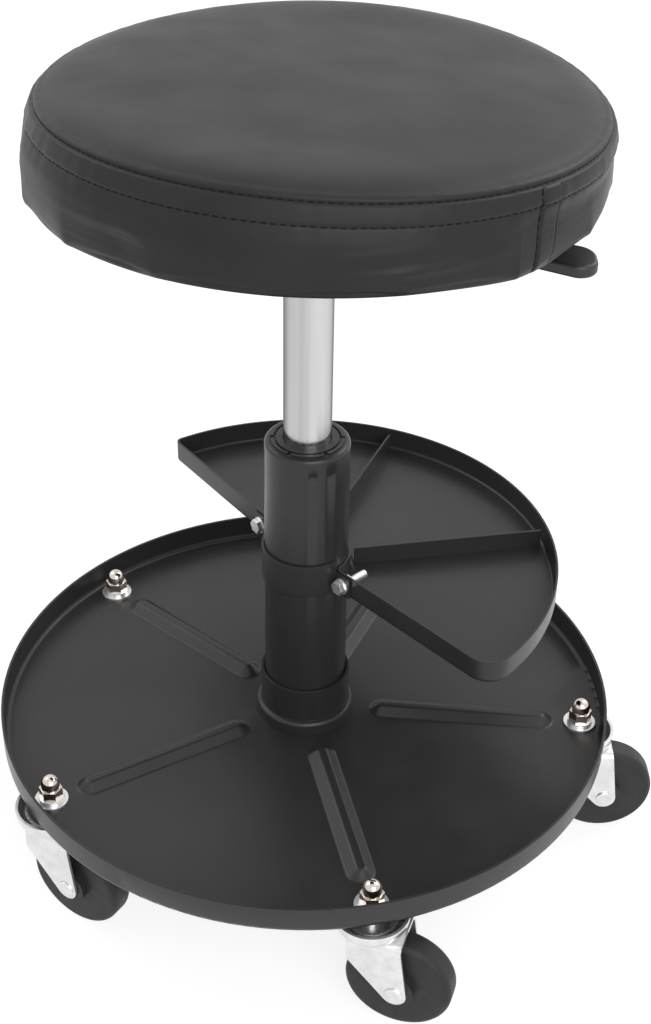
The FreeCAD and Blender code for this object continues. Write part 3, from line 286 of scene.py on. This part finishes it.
MATERIALS = {
    "black_enamel": enamel(),
    "bright_zinc": zinc(),
    "bright_nickel": nickel(),
    "satin_chrome": chrome(),
    "bare_steel": steel(),
    "black_vinyl": vinyl(),
    "plywood": plywood(),
    "black_rubber": rubber(),
    "black_plastic": plastic(),
    "white_plastic": white_plastic(),
    "seam_thread": thread(),
}

# Rigid pieces

SMOOTH_ANGLE = math.radians(40)
WELD_DISTANCE = 0.002 * MM


def finish_nodes():
    """Gives each solid its material and smooth faces that break at its real edges."""
    for entry in frame["record"]["subparts"]:
        node = nodes[entry["node"]]
        node.data.materials.clear()
        node.data.materials.append(MATERIALS.get(entry["material_slot"], MATERIALS["black_vinyl"]))
        node.data.polygons.foreach_set("use_smooth", [True] * len(node.data.polygons))
        weld = node.modifiers.new("weld", "WELD")
        weld.merge_threshold = WELD_DISTANCE
        split = node.modifiers.new("split", "EDGE_SPLIT")
        split.split_angle = SMOOTH_ANGLE


# Mesh helpers


def new_object(name, points, faces, material):
    mesh = bpy.data.meshes.new(name)
    mesh.from_pydata([tuple(p) for p in points], [], faces)
    mesh.polygons.foreach_set("use_smooth", [True] * len(mesh.polygons))
    mesh.materials.append(MATERIALS[material])
    piece = bpy.data.objects.new(name, mesh)
    bpy.context.scene.collection.objects.link(piece)
    return piece


def add_piece(name, points, faces, material, body):
    """A new piece that rides on a body and takes its finish from one of the record's slots."""
    piece = new_object(name, points, faces, material)
    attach(piece, body)
    return piece


def grid_faces(rows, columns, first=0):
    """Quads of a grid whose columns close on themselves."""
    row, column = np.mgrid[0:rows - 1, 0:columns]
    here = first + row * columns + column
    beside = first + row * columns + (column + 1) % columns
    return np.stack([here, beside, beside + columns, here + columns], -1).reshape(-1, 4).tolist()


def closed_faces(rows, columns):
    """Faces of a closed body of rings, with a point at each end after the rings."""
    faces = grid_faces(rows, columns)
    low, high = rows * columns, rows * columns + 1
    last = (rows - 1) * columns
    for k in range(columns):
        after = (k + 1) % columns
        faces.append((after, k, low))
        faces.append((last + k, last + after, high))
    return faces


def closed_points(grid):
    ends = np.stack([grid[0].mean(axis=0), grid[-1].mean(axis=0)])
    return np.concatenate([grid.reshape(-1, 3), ends])


def smooth_step(value, start, stop):
    t = np.clip((value - start) / (stop - start), 0, 1)
    return t * t * (3 - 2 * t)


def hump(value, middle, width):
    return np.exp(-((value - middle) / width) ** 2)


# Seat cushion, in millimetres: a round top panel sewn to a side band that is drawn in under the board

COLUMNS = 420
JOIN_COLUMNS = 90
JOIN_ZONE = (-54.0, -39.0)
SEAM_RADIUS = 146.3
SEAM_HEIGHT = 487.4
TOP_CENTRE = 6.6
BAND_CENTRE = 4.3
SEAM_TILT = (-3.8, -3.8)
SEAM_WAVE = (-2.4, 1.4)
BAND_RADIUS = 151.4
CORNER_RADIUS = 6.5
BOTTOM_HEIGHT = 444.2
HEM_RADIUS = 116.0
BOARD_GAP_RADIUS = 134.4
BOARD_GAP_TOP = 458.3
HEM_TOP = 445.8
SHOULDER_RISE = 6.5
SHOULDER_LENGTH = 9.0
CROWN_RISE = 2.4
POLE_RADIUS = 3.0
SHOULDER_ZONE = 16.0
SHOULDER_ROWS = 32
TOP_ROWS = 30
HEM_ROWS = 14
CORNER_ROWS = 14
BAND_ROWS = 56
UNDER_ROWS = (6, 4, 8, 2)
HEM_EDGE = 0.3
WAVE_START_RADIUS = 85.0
LOWER_EDGE = (126.0, 146.0)
SAG_HEIGHT = 26.0
SHIFT_HEIGHT = 20.0
SAGS = (
    # angle in degrees, half width in degrees, drop of the lower edge
    (-50.0, 12.0, 3.0),
    (-98.0, 42.0, -3.0),
    (-168.0, 26.0, 4.5),
)


def column_angles():
    """Angles of the columns, closer together at the side band's join."""
    even = np.linspace(-180, 180, COLUMNS, endpoint=False)
    join = np.linspace(*JOIN_ZONE, JOIN_COLUMNS)
    return np.radians(np.unique(np.concatenate([even, join])))[None, :]


def between(start, stop, count):
    """Points on a straight run, without its last one."""
    share = np.linspace(0, 1, count, endpoint=False)[:, None]
    return np.array(start) * (1 - share) + np.array(stop) * share


def under_profile():
    """The space over the board and the hem's upper face, from the middle outwards and back."""
    corners = ((POLE_RADIUS, BOARD_GAP_TOP), (BOARD_GAP_RADIUS, BOARD_GAP_TOP), (BOARD_GAP_RADIUS, HEM_TOP),
               (HEM_RADIUS, HEM_TOP), (HEM_RADIUS, BOTTOM_HEIGHT + HEM_EDGE))
    return np.concatenate([between(a, b, n) for a, b, n in zip(corners, corners[1:], UNDER_ROWS)])


def side_profile():
    """The hem's underside, the rounded lower corner and the side band up to the seam."""
    middle = (BAND_RADIUS - CORNER_RADIUS, BOTTOM_HEIGHT + CORNER_RADIUS)
    turn = np.linspace(-math.pi / 2, 0, CORNER_ROWS)
    corner = np.stack([middle[0] + CORNER_RADIUS * np.cos(turn), middle[1] + CORNER_RADIUS * np.sin(turn)], 1)
    hem = between((HEM_RADIUS, BOTTOM_HEIGHT), corner[0], HEM_ROWS)
    band = between(corner[-1], (SEAM_RADIUS, SEAM_HEIGHT), BAND_ROWS)[1:]
    rise = (band[:, 1] - corner[-1, 1]) / (SEAM_HEIGHT - corner[-1, 1])
    band[:, 0] = BAND_RADIUS - (BAND_RADIUS - SEAM_RADIUS) * rise ** 3
    return np.concatenate([hem, corner, band])


def top_profile():
    """The top panel from the seam to the middle, steep at the seam and nearly flat inside."""
    shoulder = np.linspace(0, SHOULDER_ZONE, SHOULDER_ROWS, endpoint=False)
    inward = np.concatenate([shoulder, np.geomspace(SHOULDER_ZONE, SEAM_RADIUS - POLE_RADIUS, TOP_ROWS)])
    radius = SEAM_RADIUS - inward
    rise = SHOULDER_RISE * (1 - np.exp(-inward / SHOULDER_LENGTH))
    crown = CROWN_RISE * (1 - (radius / SEAM_RADIUS) ** 2)
    return np.stack([radius, SEAM_HEIGHT + rise + crown], 1)


def along_profile(profile, start):
    """Length along the profile, measured from the row numbered start."""
    steps = np.linalg.norm(np.diff(profile, axis=0), axis=1)
    length = np.concatenate([[0], np.cumsum(steps)])
    return length - length[start]


def humps(angles, table):
    """Sum of a table's bumps at angles round the cushion."""
    degrees = np.degrees(angles)
    return sum(size * hump((degrees - turn + 180) % 360 - 180, 0, width) for turn, width, size in table)


def lathe(profile, outside, angles):
    """Rings round the profile, leaning, shifted and sagging as the sewn cover sits on its board."""
    radius, height = profile[:, :1], profile[:, 1:]
    tilt = (SEAM_TILT[0] * np.cos(angles) + SEAM_TILT[1] * np.sin(angles)) * radius / SEAM_RADIUS
    wave = SEAM_WAVE[0] * np.cos(2 * angles) + SEAM_WAVE[1] * np.sin(2 * angles)
    wave = wave * smooth_step(radius, WAVE_START_RADIUS, SEAM_RADIUS)
    lift = (tilt + wave) * outside * smooth_step(height, BOTTOM_HEIGHT, SEAM_HEIGHT)
    edge = outside * smooth_step(radius, *LOWER_EDGE)
    low = edge * (1 - smooth_step(height, BOTTOM_HEIGHT, BOTTOM_HEIGHT + SAG_HEIGHT))
    middle = np.where(height > BOTTOM_HEIGHT + CORNER_RADIUS, BAND_CENTRE * outside, BAND_CENTRE * edge)
    shift = (TOP_CENTRE - BAND_CENTRE) * outside
    middle = middle + shift * smooth_step(height, SEAM_HEIGHT - SHIFT_HEIGHT, SEAM_HEIGHT)
    x = radius * np.cos(angles) + middle
    y = radius * np.sin(angles)
    return np.stack([x, y, height + lift - low * humps(angles, SAGS)], -1)


VOXEL = 4.5 * MM
SWELL_LIMIT = 1.0
SWELL_PRESSURE = 4.0
SWELL_FRAMES = 20
SWELL_COLUMNS = 120
SLACK = -0.03
EVENING = 16
CLOTH_QUALITY = 6
CLOTH_MASS = 0.3
CLOTH_STIFFNESS = 20
CLOTH_BENDING = 0.8
HELD_HEIGHT = 1.5
SHELL_SIDE_STEP = 3
SHELL_TOP_STEP = 4


def swelling_cloth(body, held):
    """Cloth settings for stuffed vinyl that is held at its underside and cut a little large."""
    cloth = body.modifiers.new("cloth", "CLOTH").settings
    cloth.quality = CLOTH_QUALITY
    cloth.mass = CLOTH_MASS
    cloth.tension_stiffness = cloth.compression_stiffness = CLOTH_STIFFNESS
    cloth.bending_stiffness = CLOTH_BENDING
    cloth.use_pressure = True
    cloth.uniform_pressure_force = SWELL_PRESSURE
    cloth.effector_weights.gravity = 0
    cloth.vertex_group_mass = held
    cloth.shrink_min = SLACK


def points_of(body):
    return np.array([v.co for v in body.data.vertices]) / MM


def evened(values, mesh):
    """Values at a mesh's points, evened out along its edges."""
    ends = np.array([edge.vertices for edge in mesh.edges])
    count = np.bincount(ends.ravel(), minlength=len(values))[:, None]
    for _ in range(EVENING):
        near = np.zeros_like(values)
        np.add.at(near, ends[:, 0], values[ends[:, 1]])
        np.add.at(near, ends[:, 1], values[ends[:, 0]])
        values = (values + near / count) / 2
    return values


def swell(profile):
    """Inflates a plain body of the cushion as cloth and gives its points with how far each moved."""
    angles = np.linspace(0, 2 * math.pi, SWELL_COLUMNS, endpoint=False)[None, :]
    grid = lathe(profile, np.ones((len(profile), 1)), angles) * MM
    body = new_object("swelling", closed_points(grid), closed_faces(*grid.shape[:2]), "black_vinyl")
    bpy.context.view_layer.objects.active = body
    remesh = body.modifiers.new("remesh", "REMESH")
    remesh.mode = "VOXEL"
    remesh.voxel_size = VOXEL
    bpy.ops.object.modifier_apply(modifier="remesh")
    before = points_of(body)
    held = body.vertex_groups.new(name="held")
    underside = np.flatnonzero(before[:, 2] < BOTTOM_HEIGHT + HELD_HEIGHT)
    held.add(underside.tolist(), 1.0, "REPLACE")
    swelling_cloth(body, held.name)
    for number in range(1, SWELL_FRAMES + 1):
        bpy.context.scene.frame_set(number)
    bpy.ops.object.modifier_apply(modifier="cloth")
    moved = evened(points_of(body) - before, body.data)
    bpy.context.scene.frame_set(1)
    bpy.data.meshes.remove(body.data)
    return before, moved


NEAR_POINTS = 12
NEAR_SOFTENING = 2


def swell_relief(grid, places, moved):
    """How far the inflated body stands out from its own mean at each height, read from its nearest points."""
    tree = kdtree.KDTree(len(places))
    for k, place in enumerate(places):
        tree.insert(place, k)
    tree.balance()
    shift = np.zeros_like(grid)
    for spot in np.ndindex(grid.shape[:2]):
        found = tree.find_n(grid[spot], NEAR_POINTS)
        weight = np.array([1 / (NEAR_SOFTENING + distance) ** 2 for _, _, distance in found])
        shift[spot] = (moved[[index for _, index, _ in found]] * weight[:, None]).sum(axis=0) / weight.sum()
    outward = (shift * normals(grid)).sum(axis=-1)
    return np.clip(outward - outward.mean(axis=1, keepdims=True), -SWELL_LIMIT, SWELL_LIMIT)


def normals(grid):
    """Outward directions of a grid whose columns close on themselves."""
    across = np.roll(grid, -1, axis=1) - np.roll(grid, 1, axis=1)
    along = np.gradient(grid, axis=0)
    normal = np.cross(across, along)
    return normal / np.maximum(np.linalg.norm(normal, axis=-1, keepdims=True), 1e-9)


# Sewn forms: places are lengths along the profile, from the top seam inwards

STITCH_LINE = -10.2
STITCH_PITCH = 4.4
SEAM_RIPPLES = (23, 41, 67, 89)
GROOVE = -1.5
GROOVE_WIDTH = 0.9
LIP = 0.5
LIP_PLACE = 3.0
LIP_WIDTH = 2.0
RAISED_BAND = 0.7
RAISED_START = (STITCH_LINE - 0.2, STITCH_LINE + 0.8)
RAISED_END = (-1.4, 0)
STITCH_GROOVE = -0.55
STITCH_GROOVE_WIDTH = 0.8
PUCKER = 0.22
PUCKER_PLACE = 1
PUCKER_REACH = 5
LINE_PUCKER = 1.2
LINE_PUCKER_WIDTH = 6


def seam_relief(length, angles):
    """Height of the sewn forms near the top seam: its groove, the raised band and the second line below."""
    random = np.random.default_rng(SEED)
    waves = sum(np.cos(angles * n + random.uniform(0, 2 * math.pi)) for n in SEAM_RIPPLES)
    ripple = waves / len(SEAM_RIPPLES)
    groove = GROOVE * hump(length, 0, GROOVE_WIDTH)
    lip = LIP * hump(length, LIP_PLACE, LIP_WIDTH)
    band = RAISED_BAND * smooth_step(length, *RAISED_START) * (1 - smooth_step(length, *RAISED_END))
    line = STITCH_GROOVE * hump(length, STITCH_LINE, STITCH_GROOVE_WIDTH)
    near_seam = np.exp(-np.abs(length - PUCKER_PLACE) / PUCKER_REACH)
    near_line = LINE_PUCKER * hump(length, STITCH_LINE, LINE_PUCKER_WIDTH)
    return groove + lip + band + line + PUCKER * ripple * (near_seam + near_line)


JOIN_TOP_ANGLE = -47.2
JOIN_LEAN = 1.3
JOIN_OVERLAP = 4.4
JOIN_AXIS = 5.0
JOIN_END = (-3, -1)
STRIP = 0.8
STRIP_START = 0.4
STRIP_END = 0.3
JOIN_GROOVE = 0.7
JOIN_GROOVE_WIDTH = 0.35
STEP = -0.7
STEP_OFFSET = 0.35
STEP_WIDTH = 0.28
STEP_FADE = 2


def join_place(grid):
    """Degrees round the cushion from the upright join of the side band."""
    angle = np.degrees(np.arctan2(grid[..., 1], grid[..., 0] - JOIN_AXIS))
    drop = (SEAM_HEIGHT - grid[..., 2]) / (SEAM_HEIGHT - BOTTOM_HEIGHT)
    return angle - JOIN_TOP_ANGLE + JOIN_LEAN * drop


def join_relief(grid, length):
    """The lapped join of the side band: a sewn groove and a raised strip that ends in a small step."""
    place = join_place(grid)
    below = 1 - smooth_step(length, *JOIN_END)
    lapped = 1 - smooth_step(place, JOIN_OVERLAP, JOIN_OVERLAP + STRIP_END)
    lapped = lapped * smooth_step(place, 0, STRIP_START)
    step = STEP * hump(place, JOIN_OVERLAP + STEP_OFFSET, STEP_WIDTH)
    step = step * (1 - smooth_step(length, STITCH_LINE - STEP_FADE, STITCH_LINE))
    return below * (STRIP * lapped - JOIN_GROOVE * hump(place, 0, JOIN_GROOVE_WIDTH) + step)


PULL_COUNT = 16
PULL_ANGLE = -97.5
PULL_FLATNESS = 1.2
PULL_SWELL = 0.8
PULL_FADE = 10


def pull_relief(height, angles):
    """Flats between the places where the hem is pulled in and stapled."""
    pitch = 2 * math.pi / PULL_COUNT
    turn = (angles - math.radians(PULL_ANGLE) + pitch / 2) % pitch - pitch / 2
    facet = math.cos(pitch / 2) / np.cos(pitch / 2 - np.abs(turn))
    fade = np.exp(-np.maximum(height - BOTTOM_HEIGHT, 0) / PULL_FADE)
    return (PULL_FLATNESS * BAND_RADIUS * (facet - 1) + PULL_SWELL) * fade


FOLDS = (
    # angle in degrees, height, half length in degrees, half width, depth
    (-78.0, 470.0, 9.0, 2.4, 0.55),
    (-72.0, 464.5, 12.0, 2.0, -0.60),
    (-70.0, 460.0, 11.0, 2.2, 0.65),
    (-74.0, 455.0, 11.0, 1.8, -0.50),
    (-79.0, 451.0, 8.0, 1.8, 0.45),
    (-130.0, 468.0, 14.0, 2.6, 0.55),
    (-126.0, 461.0, 10.0, 5.5, -0.70),
    (-93.0, 458.0, 7.0, 6.5, -0.70),
)
LOOSE_FOLDS = 22
LOOSE_ZONE = (-30, 190)
LOOSE_SCATTER = 6
LOOSE_HEIGHT = (452, 468)
LOOSE_REACH = (5, 12)
LOOSE_WIDTH = (2.0, 4.5)
LOOSE_DEPTH = (-0.55, 0.55)
FOLD_SLOPE = 0.1
FOLD_FADE = 5


def fold_relief(grid, length):
    """Shallow lengthwise folds in the side band."""
    random = np.random.default_rng(SEED)
    angle = np.degrees(np.arctan2(grid[..., 1], grid[..., 0]))
    folds = list(FOLDS)
    for turn in np.linspace(*LOOSE_ZONE, LOOSE_FOLDS):
        place = turn + random.uniform(-LOOSE_SCATTER, LOOSE_SCATTER)
        sizes = [random.uniform(*limits) for limits in (LOOSE_HEIGHT, LOOSE_REACH, LOOSE_WIDTH, LOOSE_DEPTH)]
        folds.append((place, *sizes))
    relief = np.zeros_like(angle)
    for turn, height, reach, width, depth in folds:
        aside = (angle - turn + 180) % 360 - 180
        relief += depth * hump(aside, 0, reach) * hump(grid[..., 2] - FOLD_SLOPE * aside, height, width)
    return relief * (1 - smooth_step(length, STITCH_LINE - FOLD_FADE, STITCH_LINE))


GATHERS = (47, 72, 101)
GATHER_DEPTH = 0.6
GATHER_END = (128, 142)


def gather_relief(radius, under, angles):
    """Small pleats where the cover is gathered under the board."""
    phase = np.random.default_rng(SEED).uniform(0, 2 * math.pi, len(GATHERS))
    pleats = sum(np.cos(n * angles + p) for n, p in zip(GATHERS, phase)) / len(GATHERS)
    return GATHER_DEPTH * pleats * under * (1 - smooth_step(radius, *GATHER_END))


LOOSE_BAND = 8
TOP_LOOSENESS = 0.2
TOP_LOOSE_ZONE = (20, 50)
HEM_BLEND = 5
HEM_HEIGHT = 1
RELIEF_RISE = 4


def looseness(length):
    """How freely the cover swells: fully on the lower band, and a little on the top."""
    lower = 1 - smooth_step(length, STITCH_LINE - LOOSE_BAND, STITCH_LINE)
    return lower + TOP_LOOSENESS * smooth_step(length, *TOP_LOOSE_ZONE)


def seat_cushion():
    """The finished cover: the inflated body with its seams, folds and gathers."""
    under, side, top = under_profile(), side_profile(), top_profile()
    profile = np.concatenate([under, side, top])
    radius, height = profile[:, :1], profile[:, 1:]
    length = along_profile(profile, len(under) + len(side))[:, None]
    angles = column_angles()
    outside = np.ones((len(profile), 1))
    outside[:len(under)] = 0
    grid = lathe(profile, outside, angles)
    relief = seam_relief(length, angles) + join_relief(grid, length) + fold_relief(grid, length)
    relief += pull_relief(grid[..., 2], angles) * (length < 0)
    pole = [(POLE_RADIUS, BOTTOM_HEIGHT)]
    shell = np.concatenate([pole, side[::SHELL_SIDE_STEP], top[::SHELL_TOP_STEP]])
    relief += swell_relief(grid, *swell(shell)) * looseness(length)
    hem = smooth_step(radius, HEM_RADIUS, HEM_RADIUS + HEM_BLEND) * (height < BOTTOM_HEIGHT + HEM_HEIGHT)
    relief = relief * smooth_step(height, BOTTOM_HEIGHT, BOTTOM_HEIGHT + RELIEF_RISE)
    relief = relief + gather_relief(radius, hem, angles)
    grid = grid + normals(grid) * (outside * relief)[..., None]
    points, faces = closed_points(grid) * MM, closed_faces(*grid.shape[:2])
    cushion = add_piece("seat_cushion", points, faces, "black_vinyl", "seat")
    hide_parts("seat_cover", "seat_foam")
    return grid, length[:, 0]


# Stitches

THREAD_RADIUS = 0.43
THREAD_LIFT = 0.12
STITCH_SIDES = 6
STITCH_FILL = 0.66
JOIN_STITCHES = (-42, -1.5)
STITCH_RINGS = ((-1.0, 0.35), (-0.85, 0.85), (0.0, 1.0), (0.85, 0.85), (1.0, 0.35))


def capsule(start, stop, normal, thickness):
    """Rings of a short rounded rod between two points."""
    half = np.linalg.norm(stop - start) / 2
    along = (stop - start) / (2 * half)
    aside = np.cross(along, normal)
    turn = np.linspace(0, 2 * math.pi, STITCH_SIDES, endpoint=False)
    rim = np.cos(turn)[:, None] * aside + np.sin(turn)[:, None] * normal
    middle = (start + stop) / 2
    return np.stack([middle + along * half * at + rim * thickness * size for at, size in STITCH_RINGS])


def add_capsules(name, capsules, material):
    """One piece of many separate rods, which rides on the seat."""
    size = capsules[0].shape[0] * capsules[0].shape[1] + 2
    faces = [[k * size + corner for corner in face]
             for k in range(len(capsules)) for face in closed_faces(*capsules[0].shape[:2])]
    points = np.concatenate([closed_points(rings) for rings in capsules])
    add_piece(name, points * MM, faces, material, "seat")


def along_line(line, normal, pitch):
    """Stitches at even steps along a line of points."""
    steps = np.linalg.norm(np.diff(line, axis=0), axis=1)
    length = np.concatenate([[0], np.cumsum(steps)])
    starts = np.arange(0, length[-1] - pitch, length[-1] / round(length[-1] / pitch))

    def read(values, at):
        return np.stack([np.interp(at, length, values[:, k]) for k in range(3)], -1)

    stops = starts + STITCH_FILL * pitch
    lifted = line + THREAD_LIFT * normal
    return [capsule(a, b, n, THREAD_RADIUS)
            for a, b, n in zip(read(lifted, starts), read(lifted, stops), read(normal, starts))]


def sewn_ring(grid, length, at):
    """Stitches round the cushion at one distance from the top seam."""
    row = int(np.argmin(np.abs(length - at)))
    ring, out = grid[row], normals(grid)[row]
    return along_line(np.vstack([ring, ring[:1]]), np.vstack([out, out[:1]]), STITCH_PITCH)


def join_line(grid, length):
    """Stitches down the side band's upright join."""
    low, high = JOIN_STITCHES
    rows = np.flatnonzero((length < high) & (length > low))[::-1]
    columns = np.argmin(np.abs(join_place(grid[rows])), axis=1)
    return along_line(grid[rows, columns], normals(grid)[rows, columns], STITCH_PITCH)


def seat_stitches(grid, length):
    stitches = sewn_ring(grid, length, 0.0) + sewn_ring(grid, length, STITCH_LINE) + join_line(grid, length)
    add_capsules("seat_stitches", stitches, "seam_thread")


# Staples under the hem

STAPLES = 48
STAPLE_RADIUS = 121.0
STAPLE_LENGTH = 10.0
STAPLE_WIRE = 0.5
STAPLE_SCATTER = 0.15
STAPLE_LEAN = 0.3


def hem_staples():
    """Wire staples that hold the gathered hem to the board."""
    random = np.random.default_rng(SEED)
    staples = []
    for k in range(STAPLES):
        turn = 2 * math.pi * (k + random.uniform(-STAPLE_SCATTER, STAPLE_SCATTER)) / STAPLES
        lean = turn + math.pi / 2 + random.uniform(-STAPLE_LEAN, STAPLE_LEAN)
        middle = np.array([STAPLE_RADIUS * math.cos(turn), STAPLE_RADIUS * math.sin(turn), BOTTOM_HEIGHT])
        along = np.array([math.cos(lean), math.sin(lean), 0]) * STAPLE_LENGTH / 2
        staples.append(capsule(middle - along, middle + along, np.array([0, 0, -1.0]), STAPLE_WIRE))
    add_capsules("hem_staples", staples, "bright_zinc")


# Stage

FLOOR_HALF = 12.0
FLOOR_DIFFUSE = 0.35
FLOOR_GLOW = 0.82
WORLD_LIGHT = 0.50


def make_floor():
    """A pale floor that keeps the stool's shadow."""
    half = FLOOR_HALF
    mesh = bpy.data.meshes.new("floor")
    corners = [(-half, -half, 0), (half, -half, 0), (half, half, 0), (-half, half, 0)]
    mesh.from_pydata(corners, [], [(0, 1, 2, 3)])
    floor = bpy.data.objects.new("floor", mesh)
    bpy.context.scene.collection.objects.link(floor)
    s = Shader("pale_floor")
    s.set(Base_Color=(*grey(FLOOR_DIFFUSE), 1), Emission_Color=(1, 1, 1, 1))
    s.set(Roughness=0.9, Specular_IOR_Level=0.0)
    s.link(s.remap(s.seen(), 0.0, FLOOR_GLOW, 0.0, 1.0), s.surface.inputs["Emission Strength"])
    mesh.materials.append(s.material)


class World(Shader):
    """The world's node tree, with the same short calls."""

    def __init__(self, name):
        world = bpy.data.worlds.new(name)
        bpy.context.scene.world = world
        world.use_nodes = True
        self.tree = world.node_tree
        self.surface = self.tree.nodes["Background"]


def make_world():
    """White where it is seen, and an even light to the rest."""
    w = World("studio")
    w.set(Color=(1, 1, 1, 1))
    w.link(w.remap(w.seen(), WORLD_LIGHT, 1.0, 0.0, 1.0), w.surface.inputs["Strength"])


LAMPS = (
    # name, place, width, power
    ("key", (1.3, 0.8, 1.6), 1.2, 13.0),
    ("fill", (-1.4, 0.7, 1.6), 1.2, 6.0),
    ("front", (0.5, -1.6, 1.2), 1.4, 17.0),
)
LAMP_TARGET = Vector((0, 0, 0.28))


def make_lamps():
    for name, place, width, power in LAMPS:
        light = bpy.data.lights.new(name, "AREA")
        light.size = width
        light.energy = power
        lamp = bpy.data.objects.new(name, light)
        lamp.location = place
        lamp.rotation_euler = (LAMP_TARGET - Vector(place)).to_track_quat("-Z", "Y").to_euler()
        bpy.context.scene.collection.objects.link(lamp)


bpy.context.scene.view_settings.view_transform = "Standard"
make_camera()
finish_nodes()
seat_grid, seat_length = seat_cushion()
seat_stitches(seat_grid, seat_length)
hem_staples()
make_floor()
make_world()
make_lamps()
